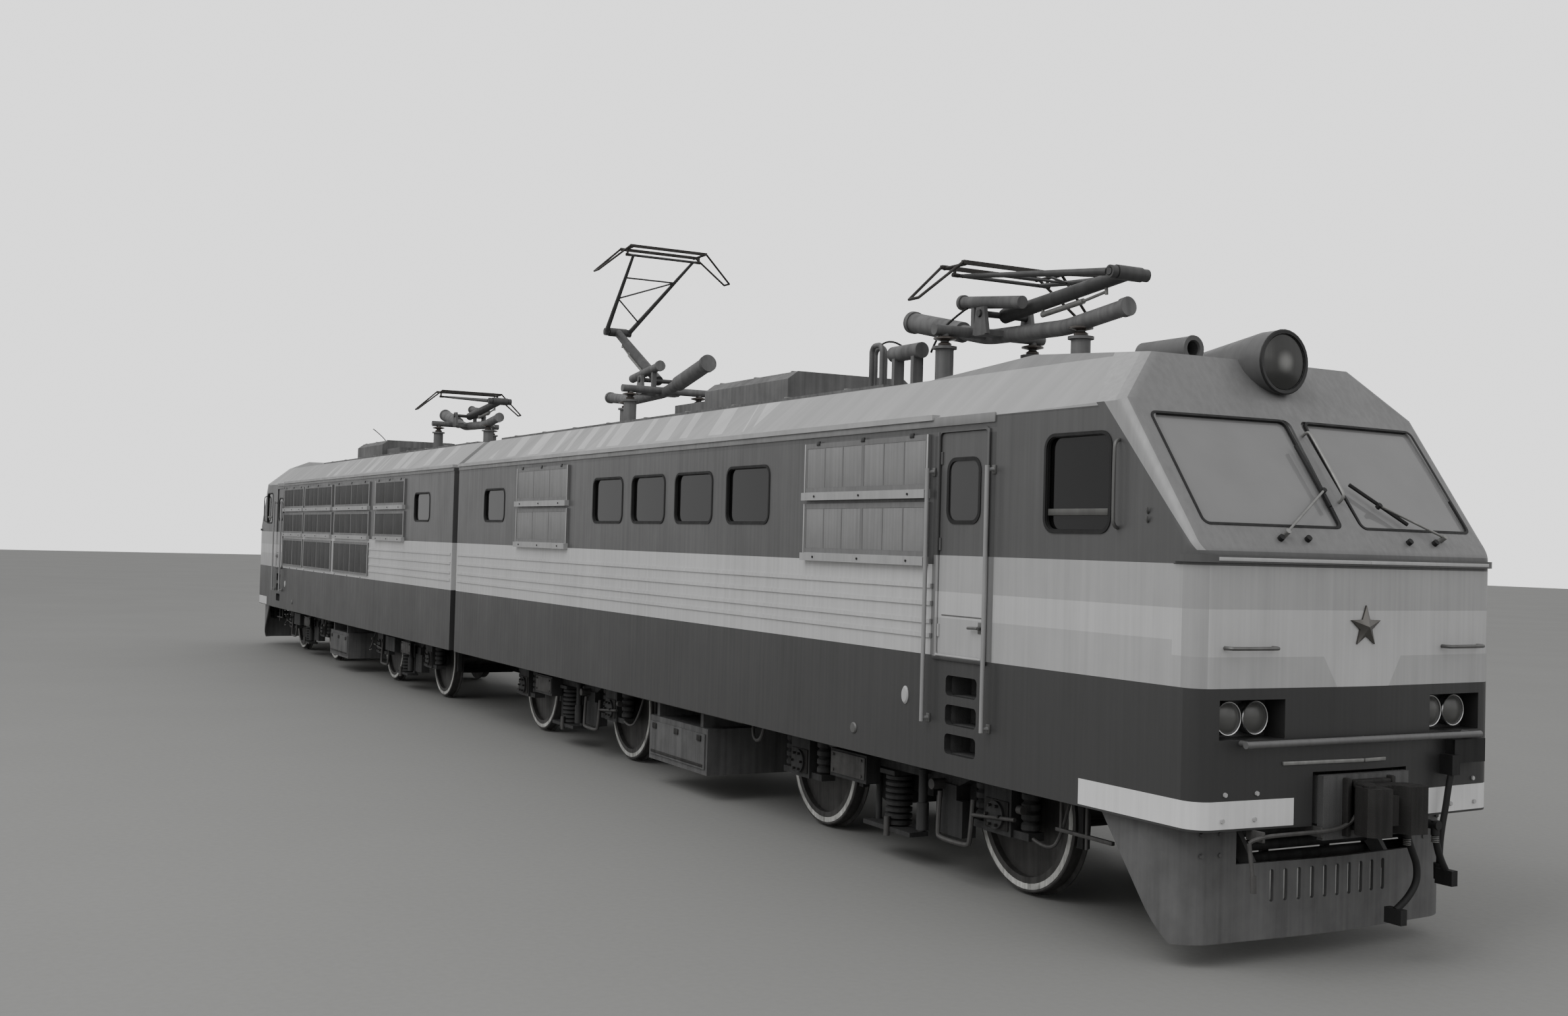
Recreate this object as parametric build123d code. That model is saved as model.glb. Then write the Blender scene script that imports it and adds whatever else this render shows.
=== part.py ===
from build123d import *
import math
import os
from functools import lru_cache

# Two-section electric locomotive for broad gauge. All lengths are in millimetres.
# X runs forward to the leading cab, Y to the left, Z up. The origin is on the floor
# under the wheel flanges, midway between the two coupled sections.
# Both sections are the same, turned by 180 degrees about Z. A section is drawn with its
# inner end near X = 0 and its cab at +X, and every height is counted from the rail top.

# Wheels and track
WHEEL_D = 1250
FLANGE_H = 28
FLANGE_T = 33
BACK_TO_BACK = 1440
TYRE_W = 140
TYRE_T = 75
RIM_T = 45
WEB_T = 30
WHEEL_HUB_R = 130
AXLE_R = 95
JOURNAL_R = 70
JOURNAL_END = 1075
JOURNAL_PLAY = 3
RAIL = FLANGE_H

# Bogies
BOGIE_CENTRES = (4000, 12000)
WHEELBASE = 3200
BOGIE_HALF = 2380
SIDE_BEAM_IN = 960
SIDE_BEAM_OUT = 1080
SIDE_BEAM_TOP = 1010
SIDE_BEAM_LOW = 850
SIDE_BELLY_LOW = 760
SIDE_BELLY_HALF = 1000
SIDE_BELLY_RAMP = 200
END_BEAM_W = 80
TRANSOM_HALF = 330
TRANSOM_LOW = 560
BEARER_R = 150
BEARER_T = 70
PIVOT_R = 110
PIVOT_PLAY = 6
MOTOR_R = 340
MOTOR_X = 800
MOTOR_HALF_L = 590
AXLEBOX_W = 360
AXLEBOX_H = 300
AXLEBOX_IN = 905
AXLEBOX_OUT = 1130
AXLEBOX_CAP_R = 110
AXLEBOX_CAP_T = 35
COIL_R = 75
COIL_X = 300
COIL_SEAT = (955, 1105)
COIL_SEAT_T = 60
COIL_TURNS = 4
SPRING_R = 120
SPRING_COILS = 8
SPRING_H = (270, 720)
SPRING_Y = 1020
SPRING_CLEAR = 20
SPRING_PAN_T = 40
SPRING_PAN_HALF = 380
LINK_R = 28
DAMPER_R = (38, 52)
DAMPER_X = 560
DAMPER_H = (330, 560, 840)
YAW_GAP = 12
# Brake cylinder and valve box on a side beam: X of their ends, low and high edge, depth
BRAKE_CYLINDER = (700, 1080, 340, 640, 140)
VALVE_BOX = (-850, -220, 600, 850, 150)
SHOE_T = 55
SHOE_HALF_H = 170
SHOE_GAP = 12
SHOE_Y = (765, 835)
HANGER_T = 30

# Longer than anything that a cutting block has to reach past
FAR = 9000

# Body shell
END_X = 130
BODY_HALF = 1475
CAB_HALF = 1430
TAPER_X = 13950
WALL = 60
END_WALL = 90
SKIRT_H = 930
BAND_LOW_H = 1855
LEDGE_H = 2700
CANT_H = 3750
ROOF_RISE = 420
ROOF_H = CANT_H + ROOF_RISE
CAB_ROOF_RISE = 120
CAB_ROOF_H = ROOF_H + CAB_ROOF_RISE
CAB_ROOF_FALL = 130
CAB_ROOF_FRONT_H = CAB_ROOF_H - CAB_ROOF_FALL
ROOF_RAMP_X = 12300
CAB_ROOF_X = 13600
ROOF_SLOPE = 41.5
NOSE_X = 16211
NOSE_V = 0.059
NOSE_RAKE = 0.72
RAKE_H = 2750
NOSE_CORNER_R = 150
NOSE_CENTRE_R = 5000
EDGE_R = 100
NOSE_LOW_SPLIT = 15880
NOSE_SPLIT = ((15990, 2770), (15100, 3750))
GUTTER_H = 45
GUTTER_OUT = 30
GUTTER_END = 13100
RIB_H = (2010, 2125, 2270, 2410)
RIB_D = 14
RIB_W = 36
BAND_END = 13130
# Where the side panels are welded: ahead of the ribs, and behind the cab window
PANEL_JOINTS = (13150, 13950)

# Openings in the sides: start, width, low edge, height
WINDOWS_RIGHT = ((1430, 880, 2930, 440), (5690, 900, 2920, 510), (6890, 900, 2920, 510),
                 (8090, 900, 2920, 510), (9350, 900, 2920, 540))
WINDOWS_LEFT = ((1430, 880, 2930, 440),)
CAB_WINDOW = (14550, 690, 2870, 680)
WINDOW_R = 90
GLASS_T = 10
DOOR_X = 13200
DOOR_W = 640
DOOR_H0 = 1860
DOOR_H1 = 3640
DOOR_GAP = 8
DOOR_T = 45
DOOR_WINDOW = (110, 420, 1070, 490)
DOOR_R = 40
STEP_X = 13340
STEP_W = 420
STEP_H = (1090, 1320, 1550)
STEP_TALL = 160
STEP_DEEP = 200
STEP_T = 8

# Filter grilles: start, width, columns, rows
GRILLES_RIGHT = ((2900, 1950, 1, 2), (11000, 2050, 2, 2))
GRILLES_LEFT = ((2900, 1950, 1, 2), (5300, 2750, 2, 3), (8300, 2550, 2, 3), (11000, 2050, 2, 3))
GRILLE_ROWS = ((3190, 3640), (2640, 3090), (1910, 2520))
GRILLE_T = 26
GRILLE_FRAME = 45
GRILLE_LEDGE_T = 60
GRILLE_LEDGE_H = 70
GRILLE_SLATS = 3
GRILLE_SLAT_W = 14

# Windscreens: distance of the corners from the centre line, and their heights
PANE_INNER = (94, 87)
PANE_OUTER = (1300, 1300)
PANE_H = (2922, 3704)
PANE_R = 60

# Floor and underframe
FLOOR_H = 1440
FLOOR_T = 60
SILL_H = 1100
SILL_T = 60
HEADSTOCK_X = 15420
HEADSTOCK_T = 160
BOLSTER_HALF = 280
BOLSTER_H = 1190
PIVOT_H = 700
BOX_X = (7250, 8750)
BOX_H = (250, 740)
BOX_OUT = 1330
BOX_IN = 330

# Cab and machine room
CAB_FLOOR_H = 1850
BULKHEAD_X = 13060
CAB_WALL_X = 13920
PARTITION_T = 50
DESK_H = 2600
DESK_X = (15050, 15640)
SEAT_X = 14560
SEAT_Y = 760
SEAT_H = 2290
DESK_BASE = 250
SEAT_W = 470
CAB_DOOR_H = 1750
MACHINE_X = (700, 12700)
MACHINE_Y = (-500, 1250)
MACHINE_TOP_H = 3350

# Headlamp, horn and marker lamps
LAMP_X = 15420
LAMP_DROP = 20
LAMP_H = CAB_ROOF_FRONT_H - LAMP_DROP
LAMP_R = 235
LAMP_LENS_R = 205
LAMP_BACK_X = 14450
LAMP_BACK_R = 120
LAMP_BARREL = 160
LAMP_BOWL = 40
HORN_Y = 500
HORN_SINK = 55
HORN_H = CAB_ROOF_H - HORN_SINK
HORN_R = 95
HORN_BORE_R = 62
HORN_X = (14480, 15010)
MARKER_Y = (1090, 850)
MARKER_H = 1650
MARKER_R = 112
MARKER_RING_T = 60
POCKET_Y = (700, 1250)
LAMP_POCKET_H = (1520, 1780)
LAMP_POCKET_X = 15985
LAMP_POCKET_T = 12

# Coupler, deflector and fittings
COUPLER_X = 16540
COUPLER_H = 1060
POCKET_HALF = 450
POCKET_H = (930, 1290)
PLOUGH_H = (130, 930)
PLOUGH_FRONT_H = 650
PLOUGH_X = 15960
PLOUGH_HALF = 1360
PLOUGH_R = 330
PLOUGH_BACK_X = (15130, 15760)
PLOUGH_T = 25
PLOUGH_OPEN_HALF = 850
PLOUGH_SLOTS = 10
PLOUGH_SLOT_PITCH = 120
PLOUGH_SLOT = (35, 220, 380)
HOSE_R = 24
HOSE_X = 16330
HOSE_COCK_R = 32
HOSE_HEAD = (70, 60, 90)
# The course of each hose across the front: (y, height) points from its cock to its head.
HOSES = (((300, 850), (345, 750), (405, 640), (405, 520), (320, 420), (200, 345)),
         ((580, 850), (598, 760), (640, 660), (700, 570)))
JUMPER_BOX = (880, 1200, 1300, 1465)
JUMPER_R = 22
JUMPER = ((850, 1250), (818, 1130), (795, 1000), (763, 872), (742, 740), (740, 610))
RAIL_R = 18
DOOR_RAIL_H = (1320, 3360)
DOOR_RAIL_OUT = 70
BAR_H = 1500
BAR_HALF = 1130
BAR_OUT = 75

# Drawbar and pin that couple the two sections under the gangway
LINK_H = 1060
LINK_T = 60
LINK_EYE_R = 110
LINK_PIN_R = 45
LINK_PLAY = 8
LINK_HALF_W = 70
LINK_PLATE_T = 50
LINK_BOX = (480, 240)

# Gangway between the sections
GANGWAY_HALF = 1150
GANGWAY_H = (1180, 3700)
GANGWAY_GAP = 70
PASSAGE_HALF = 340
PASSAGE_H = (1560, 3460)

# Pantographs: arm pivot position along the locomotive, knee direction, resting angle
PANTOGRAPHS = {"first": (12000, 1, 5.5), "second": (4200, -1, 28.5), "third": (-4200, 1, 5.5)}
PIVOT_RISE = 690
PIVOT_PANTO_H = ROOF_H + PIVOT_RISE
LOWER_ARM = 1700
UPPER_ARM = 1760
LOWER_ARM_R = (70, 58)
UPPER_ARM_R = (34, 20)
BRACE_R = 12
KNEE_HALF = 190
KNEE_TUBE_R = 62
BOSS_T = 50
BOSS_WALL = 24
APEX_HALF = 440
SHAFT_R = 30
SHAFT_PLAY = 6
STRIP_HALF = 560
STRIP_GAP = 170
STRIP_W = 45
STRIP_T = 36
STRIP_RISE = 75
HORN_DROP = 330
HORN_OUT = 400
HORN_ROD_R = 14
CARRIER_R = 16
# Course of the base's main tube: distance from the pivot towards the knee, and rise over the roof
BASE_TUBE = ((-1540, 800), (-250, 520), (900, 490), (1700, 580))
BASE_TUBE_R = 72
BASE_BEND_R = 1500
BASE_SLEEVE_R = 100
BASE_SLEEVE_L = 900
BASE_CAP_R = 112
BASE_CAP_T = 60
CROSS_TUBE_R = 50
CROSS_LIFT = 20
EAR_SPAN = (240, 280)
EAR_HALF = 110
EAR_RISE = 500
# Raising cylinder beside the lower arm: its two ends along the base and over the roof, and its place across
LIFT_CYLINDER = ((-440, 850), (490, 745))
LIFT_CYLINDER_R = 58
LIFT_CYLINDER_Y = -170
PLINTH_R = 85
PLINTH_FLANGE = (113, 25)
INSULATOR_R = 38
SHED_R = 104
SHED_RISE = 450
SHED_T = 30
# Insulators: distance from the pivot towards the knee, and place across
INSULATOR_SPOTS = ((-230, -500), (-230, 500), (1100, 0))
HOOD = (7300, 9300, 780, 360)
LOW_BOX = (6300, 7250, 700, 180)
# Breaker drum: X of its ends, place across, height of its axis over the roof, radius
BREAKER = (10900, 11400, -500, 395, 76)
# Bent bus pipes beside the breaker: X of their feet, place across, height over the roof, pipe radius
BUS_PIPES = ((10440, 10620, -420), (10600, 10790, -560))
BUS_PIPE_TOP = 500
BUS_PIPE_R = 26
BUS_BEND_R = 70
# Walking boards: X of their ends, place across, width, thickness
BOARD = (600, 11500, 885, 190, 30)


def up(height):
    """The Z of a height counted from the rail top."""
    return RAIL + height


def block(x0, x1, y0, y1, h0, h1):
    return Pos((x0 + x1) / 2, (y0 + y1) / 2, up((h0 + h1) / 2)) * Box(x1 - x0, abs(y1 - y0), h1 - h0)


def polygon(points):
    """A face whose outline always runs counter-clockwise, so that it always extrudes the same way."""
    turns = zip(points, points[1:] + points[:1])
    area = sum(a[0] * b[1] - b[0] * a[1] for a, b in turns)
    return Polygon(*(points if area > 0 else points[::-1]), align=None)


def prism_y(points, y0, y1):
    """A side outline of (x, height) points, from y0 to the larger y1."""
    outline = [(x, up(h)) for x, h in points]
    return extrude(Plane.XZ.offset(-y1) * polygon(outline), y1 - y0)


def prism_x(points, x0, x1):
    """A cross-section of (y, height) points, from x0 to the larger x1."""
    outline = [(y, up(h)) for y, h in points]
    return extrude(Plane.YZ.offset(x0) * polygon(outline), x1 - x0)


def prism_z(face, h0, h1):
    return extrude(Pos(0, 0, up(h0)) * face, h1 - h0)


def rod(start, end, radius, end_radius=None):
    """A round bar or cone between two (x, y, height) points."""
    a = Vector(start[0], start[1], up(start[2]))
    b = Vector(end[0], end[1], up(end[2]))
    plane = Plane(origin=a, z_dir=b - a)
    if end_radius is None:
        return Solid.make_cylinder(radius, (b - a).length, plane)
    return Solid.make_cone(radius, end_radius, (b - a).length, plane)


def fused(shapes):
    return Part() + list(shapes)


def bundle(shapes):
    """Separate solids that share a node."""
    solids = []
    for shape in shapes:
        solids += shape.solids()
    return Compound(children=solids)


def slab_opening(start, width, low, height, radius, y0, y1):
    """A rounded rectangle cut through a side wall."""
    sketch = Pos(start + width / 2, up(low + height / 2)) * RectangleRounded(width, height, radius)
    return extrude(Plane.XZ.offset(-y1) * sketch, y1 - y0)


def side_range(side, near, far):
    """The y range from near to far on one side: -1 is the right, +1 is the left."""
    return (near, far) if side > 0 else (-far, -near)


# Body shell

def slope_y(height, inset):
    """Half width of the sloping roof edge at a height, moved in by a wall's thickness."""
    rise = math.radians(ROOF_SLOPE)
    return BODY_HALF + (-inset - (height - CANT_H) * math.cos(rise)) / math.sin(rise)


def plan_face(inset, end_x):
    front = NOSE_X - inset
    corner_x = NOSE_X - NOSE_V * CAB_HALF - inset
    half = BODY_HALF - inset
    cab = CAB_HALF - inset
    radius = NOSE_CORNER_R - inset
    points = [(end_x, -half), (TAPER_X, -half), (corner_x, -cab), (front, 0), (corner_x, cab),
              (TAPER_X, half), (end_x, half)]
    radii = [0, 0, radius, NOSE_CENTRE_R, radius, 0, 0]
    return make_face(FilletPolyline(*points, radius=radii, close=True))


def section_form(inset, end_x, low):
    """The section's outer form, or the hollow inside it when inset is the wall's thickness."""
    half = BODY_HALF - inset
    rise = math.radians(ROOF_SLOPE)
    eave = CANT_H + (-inset + inset * math.sin(rise)) / math.cos(rise)
    top = CAB_ROOF_H + 60
    tip = slope_y(top, inset)
    across = prism_x([(-half, low), (half, low), (half, eave), (tip, top), (-tip, top), (-half, eave)],
                     end_x, NOSE_X)
    front_x = NOSE_X - NOSE_RAKE * (CAB_ROOF_FRONT_H - RAKE_H)
    side = prism_y([(end_x, low), (NOSE_X, low), (NOSE_X, CAB_ROOF_FRONT_H - inset),
                    (front_x, CAB_ROOF_FRONT_H - inset), (CAB_ROOF_X, CAB_ROOF_H - inset),
                    (ROOF_RAMP_X, ROOF_H - inset), (end_x, ROOF_H - inset)], -BODY_HALF, BODY_HALF)
    form = across & side & prism_z(plan_face(inset, end_x), low, top)
    for half_side in (-1, 1):
        form -= rake_cutter(half_side, inset)
    return form


@lru_cache
def body_form():
    """The closed outer form, to trim what stands on the shell."""
    return section_form(0, END_X, SKIRT_H)


def rake_plane(half_side, inset):
    normal = Vector(1, half_side * NOSE_V, NOSE_RAKE).normalized()
    origin = Vector(NOSE_X, 0, up(RAKE_H)) - normal * inset
    return Plane(origin=origin, x_dir=Vector(-half_side * NOSE_V, 1, 0), z_dir=normal)


def rake_cutter(half_side, inset):
    above = Box(FAR, FAR, FAR / 3, align=(Align.CENTER, Align.CENTER, Align.MIN))
    return rake_plane(half_side, inset) * above


def outer_form():
    form = section_form(0, END_X, SKIRT_H)
    nose_edges = [e for e in form.edges()
                  if e.center().X > NOSE_X - 1500 and abs(e.center().Y) > 600
                  and e.center().Z > up(RAKE_H + 120) and abs(e.tangent_at(0.5).Z) > 0.3
                  and abs(e.tangent_at(0.5).X) > 0.1]
    return fillet(nose_edges, EDGE_R)


def nose_region():
    """The room ahead of the joint line between the nose and the side and roof panels."""
    (foot_x, foot_h), (head_x, head_h) = NOSE_SPLIT
    top = CAB_ROOF_H + 100
    slant_top = head_x - (top - head_h) * (foot_x - head_x) / (head_h - foot_h)
    return prism_y([(NOSE_LOW_SPLIT, SKIRT_H - 50), (NOSE_X + 100, SKIRT_H - 50), (NOSE_X + 100, top),
                    (slant_top, top), (foot_x, foot_h), (NOSE_LOW_SPLIT, foot_h - 110)],
                   -BODY_HALF - 10, BODY_HALF + 10)


def windscreen_face(half_side, grow):
    """One windscreen's outline on its sloping plane, made larger or smaller by grow."""
    plane = rake_plane(half_side, 0)
    lean = math.sqrt(1 + NOSE_V ** 2 + NOSE_RAKE ** 2) / math.sqrt(1 + NOSE_V ** 2)
    low = (PANE_H[0] - RAKE_H) * lean - grow
    high = (PANE_H[1] - RAKE_H) * lean + grow
    inner = [y - grow for y in PANE_INNER]
    outer = [y + grow for y in PANE_OUTER]
    points = [(half_side * inner[0], low), (half_side * outer[0], low),
              (half_side * outer[1], high), (half_side * inner[1], high)]
    if half_side < 0:
        points.reverse()
    face = make_face(FilletPolyline(*points, radius=PANE_R + grow, close=True))
    return plane, face


def windscreen_prism(half_side, grow, out, thick):
    plane, face = windscreen_face(half_side, grow)
    return extrude(plane.offset(out) * face, -thick)


def side_openings():
    """Everything cut through the two side walls of a section."""
    cuts = []
    tables = ((-1, WINDOWS_RIGHT), (1, WINDOWS_LEFT))
    for side, windows in tables:
        y0, y1 = side_range(side, BODY_HALF - 2 * WALL, BODY_HALF + 10)
        for start, width, low, height in windows + (CAB_WINDOW,):
            cuts.append(slab_opening(start, width, low, height, WINDOW_R, y0, y1))
        cuts.append(slab_opening(DOOR_X - DOOR_GAP, DOOR_W + 2 * DOOR_GAP, DOOR_H0 - DOOR_GAP,
                                 DOOR_H1 - DOOR_H0 + 2 * DOOR_GAP, DOOR_R + DOOR_GAP, y0, y1))
        for low in STEP_H:
            cuts.append(slab_opening(STEP_X, STEP_W, low, STEP_TALL, DOOR_R, y0, y1))
    return cuts


def ribs():
    """Pressed ribs of the light band, from the inner end to the door, or to the first low grille."""
    bars = []
    for side, last in ((-1, BAND_END), (1, GRILLES_LEFT[1][0] - GRILLE_FRAME)):
        y0, y1 = side_range(side, BODY_HALF, BODY_HALF + RIB_D)
        for height in RIB_H:
            bars.append(block(END_X + 60, last, y0, y1, height - RIB_W / 2, height + RIB_W / 2))
    return bars


def side_panels(sides):
    """The two side walls cut at their welded joints, and the end wall by itself."""
    out = BODY_HALF + RIB_D + 10
    end_wall = block(END_X - 10, END_X + END_WALL, -out, out, SKIRT_H - 60, CANT_H + 10)
    panels = [sides & end_wall]
    walls = sides - end_wall
    for side in (-1, 1):
        for x0, x1 in zip((END_X, *PANEL_JOINTS), (*PANEL_JOINTS, NOSE_X)):
            panels.append(walls & block(x0, x1, *side_range(side, 0, out), SKIRT_H - 60, CANT_H + 10))
    return bundle(panels)


def roof_panels(roof):
    """The roof's two slopes, its flat top and the gable over the end wall."""
    gable = block(END_X - 10, END_X + END_WALL, -BODY_HALF + WALL, BODY_HALF - WALL,
                  CANT_H - 10, CAB_ROOF_H)
    low, high = CANT_H - 100, CAB_ROOF_H + 100
    core = prism_x([(-slope_y(low, WALL), low), (slope_y(low, WALL), low), (slope_y(high, WALL), high),
                    (-slope_y(high, WALL), high)], END_X - 10, NOSE_X)
    inside = roof & core
    return bundle([roof - core, inside & gable, inside - gable])


def shell_pieces():
    """The hollow shell of a section, split into sides, roof and nose where the panels meet."""
    outer = outer_form()
    inner = section_form(WALL, END_X + END_WALL, SKIRT_H - 100)
    shell = outer - inner
    pocket = block(NOSE_LOW_SPLIT - 50, NOSE_X + 100, -POCKET_HALF, POCKET_HALF, *POCKET_H)
    front = nose_region()
    roof_box = block(0, NOSE_X, -BODY_HALF - 10, BODY_HALF + 10, CANT_H, CAB_ROOF_H + 100)
    nose = (shell & front) - pocket
    for half_side in (-1, 1):
        nose -= windscreen_prism(half_side, 0, 60, 200)
        nose -= block(LAMP_POCKET_X, NOSE_X, *side_range(half_side, *POCKET_Y), *LAMP_POCKET_H)
        nose += lamp_pocket(half_side)
    ledge_face = offset(plan_face(0, END_X), 28, kind=Kind.INTERSECTION)
    ledge = prism_z(ledge_face, LEDGE_H - 25, LEDGE_H + 25)
    ledge -= prism_z(plan_face(1, END_X), LEDGE_H - 26, LEDGE_H + 26)
    nose += ledge & front
    rest = shell - front
    roof = rest & roof_box
    passage = block(0, END_X + END_WALL + 50, -PASSAGE_HALF, PASSAGE_HALF, *PASSAGE_H)
    notch = block(0, END_X + END_WALL, -LINK_BOX[1] - 20, LINK_BOX[1] + 20, SKIRT_H - 10, GANGWAY_H[0])
    sides = fused([rest - roof_box] + ribs()) - [*side_openings(), passage, notch]
    gutters = [block(END_X, GUTTER_END, *side_range(s, BODY_HALF - GUTTER_H, BODY_HALF + GUTTER_OUT),
                    CANT_H, CANT_H + GUTTER_H) for s in (-1, 1)]
    roof = roof_panels(fused([roof] + gutters))
    return {"body_sides": side_panels(sides), "roof": roof, "cab_nose": nose}


def lamp_pocket(side):
    """The tray let into the nose that carries two marker lamps."""
    wall = LAMP_POCKET_T
    y0, y1 = side_range(side, POCKET_Y[0] - wall, POCKET_Y[1] + wall)
    tray = block(LAMP_POCKET_X - wall, NOSE_X - NOSE_V * POCKET_Y[1] - 20, y0, y1,
                 LAMP_POCKET_H[0] - wall, LAMP_POCKET_H[1] + wall)
    return tray - block(LAMP_POCKET_X, NOSE_X, *side_range(side, *POCKET_Y), *LAMP_POCKET_H)


def glazing():
    """All fixed panes of a section: side windows, cab windows and two windscreens."""
    panes = []
    mid = BODY_HALF - WALL / 2
    for side, windows in ((-1, WINDOWS_RIGHT), (1, WINDOWS_LEFT)):
        y0, y1 = side_range(side, mid - GLASS_T / 2, mid + GLASS_T / 2)
        for start, width, low, height in windows:
            panes.append(slab_opening(start, width, low, height, WINDOW_R, y0, y1))
        taper = (BODY_HALF - CAB_HALF) / (NOSE_X - NOSE_V * CAB_HALF - TAPER_X)
        start, width, low, height = CAB_WINDOW
        pull = (start + width / 2 - TAPER_X) * taper
        y0, y1 = side_range(side, mid - GLASS_T / 2 - pull, mid + GLASS_T / 2 - pull)
        panes.append(slab_opening(start, width, low, height, WINDOW_R, y0, y1))
        panes.append(windscreen_prism(side, 0, -20, GLASS_T))
    return bundle(panes)


def grille_panel(side, start, width, columns, row):
    """One filter panel: a frame with upright bars over the filter sheet, and a rain ledge along its foot."""
    low, high = GRILLE_ROWS[row]
    face = BODY_HALF + GRILLE_T
    frame = block(start, start + width, *side_range(side, BODY_HALF, face), low, high)
    cell = (width - GRILLE_FRAME) / columns
    depth = side_range(side, BODY_HALF + GRILLE_T / 2, face)
    bars = []
    for column in range(columns):
        x0 = start + GRILLE_FRAME + column * cell
        x1 = x0 + cell - GRILLE_FRAME
        frame -= block(x0, x1, *side_range(side, BODY_HALF + GRILLE_T / 2, face + 5),
                       low + GRILLE_FRAME, high - GRILLE_FRAME)
        pitch = (x1 - x0) / GRILLE_SLATS
        for i in range(1, GRILLE_SLATS):
            x = x0 + i * pitch
            bars.append(block(x - GRILLE_SLAT_W / 2, x + GRILLE_SLAT_W / 2, *depth, low + GRILLE_FRAME,
                              high - GRILLE_FRAME))
    if row < 2:
        bars.append(block(start, start + width, *side_range(side, BODY_HALF, BODY_HALF + GRILLE_LEDGE_T),
                          low - GRILLE_LEDGE_H, low))
    return fused([frame] + bars)


def grilles():
    panels = []
    for side, table in ((-1, GRILLES_RIGHT), (1, GRILLES_LEFT)):
        for start, width, columns, rows in table:
            panels += [grille_panel(side, start, width, columns, row) for row in range(rows)]
    return bundle(panels)


def door(side):
    """A side door with its own window pane, closed in its opening."""
    face_y = BODY_HALF - 6
    y0, y1 = side_range(side, face_y - DOOR_T, face_y)
    leaf = slab_opening(DOOR_X, DOOR_W, DOOR_H0, DOOR_H1 - DOOR_H0, DOOR_R, y0, y1)
    dx, width, dz, height = DOOR_WINDOW
    leaf -= slab_opening(DOOR_X + dx, width, DOOR_H0 + dz, height, WINDOW_R, y0 - 5, y1 + 5)
    mid = side * (face_y - DOOR_T / 2)
    pane = slab_opening(DOOR_X + dx, width, DOOR_H0 + dz, height, WINDOW_R,
                        mid - GLASS_T / 2, mid + GLASS_T / 2)
    return bundle([leaf, pane])


# Underframe

def underframe(link):
    """Floor plate, sills, headstock, bolsters with their pivots, step recesses and floor boxes."""
    inner = BODY_HALF - WALL
    cab_inner = CAB_HALF - WALL
    start = END_X + END_WALL
    plan = polygon([(start, -inner), (TAPER_X, -inner), (TAPER_X, -cab_inner), (HEADSTOCK_X, -cab_inner),
                    (HEADSTOCK_X, cab_inner), (TAPER_X, cab_inner), (TAPER_X, inner), (start, inner)])
    plate = prism_z(plan, FLOOR_H, FLOOR_H + FLOOR_T)
    pieces = [block(HEADSTOCK_X, HEADSTOCK_X + HEADSTOCK_T, -cab_inner + 20, cab_inner - 20,
                    POCKET_H[0], CAB_FLOOR_H)]
    pieces += draft_box()
    for centre in BOGIE_CENTRES:
        pieces += bolster(centre)
    for side in (-1, 1):
        sill = block(start, HEADSTOCK_X, *side_range(side, cab_inner - SILL_T, cab_inner), SILL_H, FLOOR_H)
        steps = step_recess(side)
        plate -= steps["space"]
        pieces += [sill - steps["space"], steps["box"]]
        pieces += floor_boxes(side)
    link_beam, link_end = section_link(link)
    return bundle([plate, *pieces, link_beam, link_end])


def bolster(centre):
    """Cross beam over a bogie, between the sills, with its centre pivot and two side bearers."""
    half = CAB_HALF - WALL - SILL_T
    pieces = [block(centre - BOLSTER_HALF, centre + BOLSTER_HALF, -half, half, BOLSTER_H, FLOOR_H),
              rod((centre, 0, PIVOT_H), (centre, 0, BOLSTER_H), PIVOT_R)]
    for side in (-1, 1):
        y = side * (SIDE_BEAM_IN + SIDE_BEAM_OUT) / 2
        low = SIDE_BEAM_TOP + BEARER_T + YAW_GAP
        pieces.append(rod((centre, y, low), (centre, y, BOLSTER_H), BEARER_R))
    return pieces


def step_recess(side):
    """The box of step pockets under a side door, and the room it takes in the floor and sill."""
    wall = STEP_T
    y0, y1 = side_range(side, BODY_HALF - WALL - STEP_DEEP, BODY_HALF - WALL)
    space = block(STEP_X - wall, STEP_X + STEP_W + wall, y0, y1,
                  STEP_H[0] - wall, STEP_H[-1] + STEP_TALL + wall)
    y0, y1 = side_range(side, BODY_HALF - WALL - STEP_DEEP + wall, BODY_HALF - WALL + 1)
    pockets = [block(STEP_X, STEP_X + STEP_W, y0, y1, low, low + STEP_TALL) for low in STEP_H]
    return {"space": space, "box": fused([space]) - pockets}


def floor_boxes(side):
    """The box hung under the floor between the bogies, with its lid and hangers."""
    x0, x1 = BOX_X
    low, high = BOX_H
    box = block(x0, x1, *side_range(side, BOX_IN, BOX_OUT), low, high)
    lid = block(x0 + 40, x1 - 40, *side_range(side, BOX_OUT, BOX_OUT + 15), low + 60, high - 60)
    reach = side_range(side, BOX_IN, CAB_HALF - WALL - SILL_T)
    hangers = [block(x, x + 70, *reach, high, FLOOR_H) for x in (x0 + 150, x1 - 220)]
    return [fused([box, lid]), *hangers]


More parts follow.
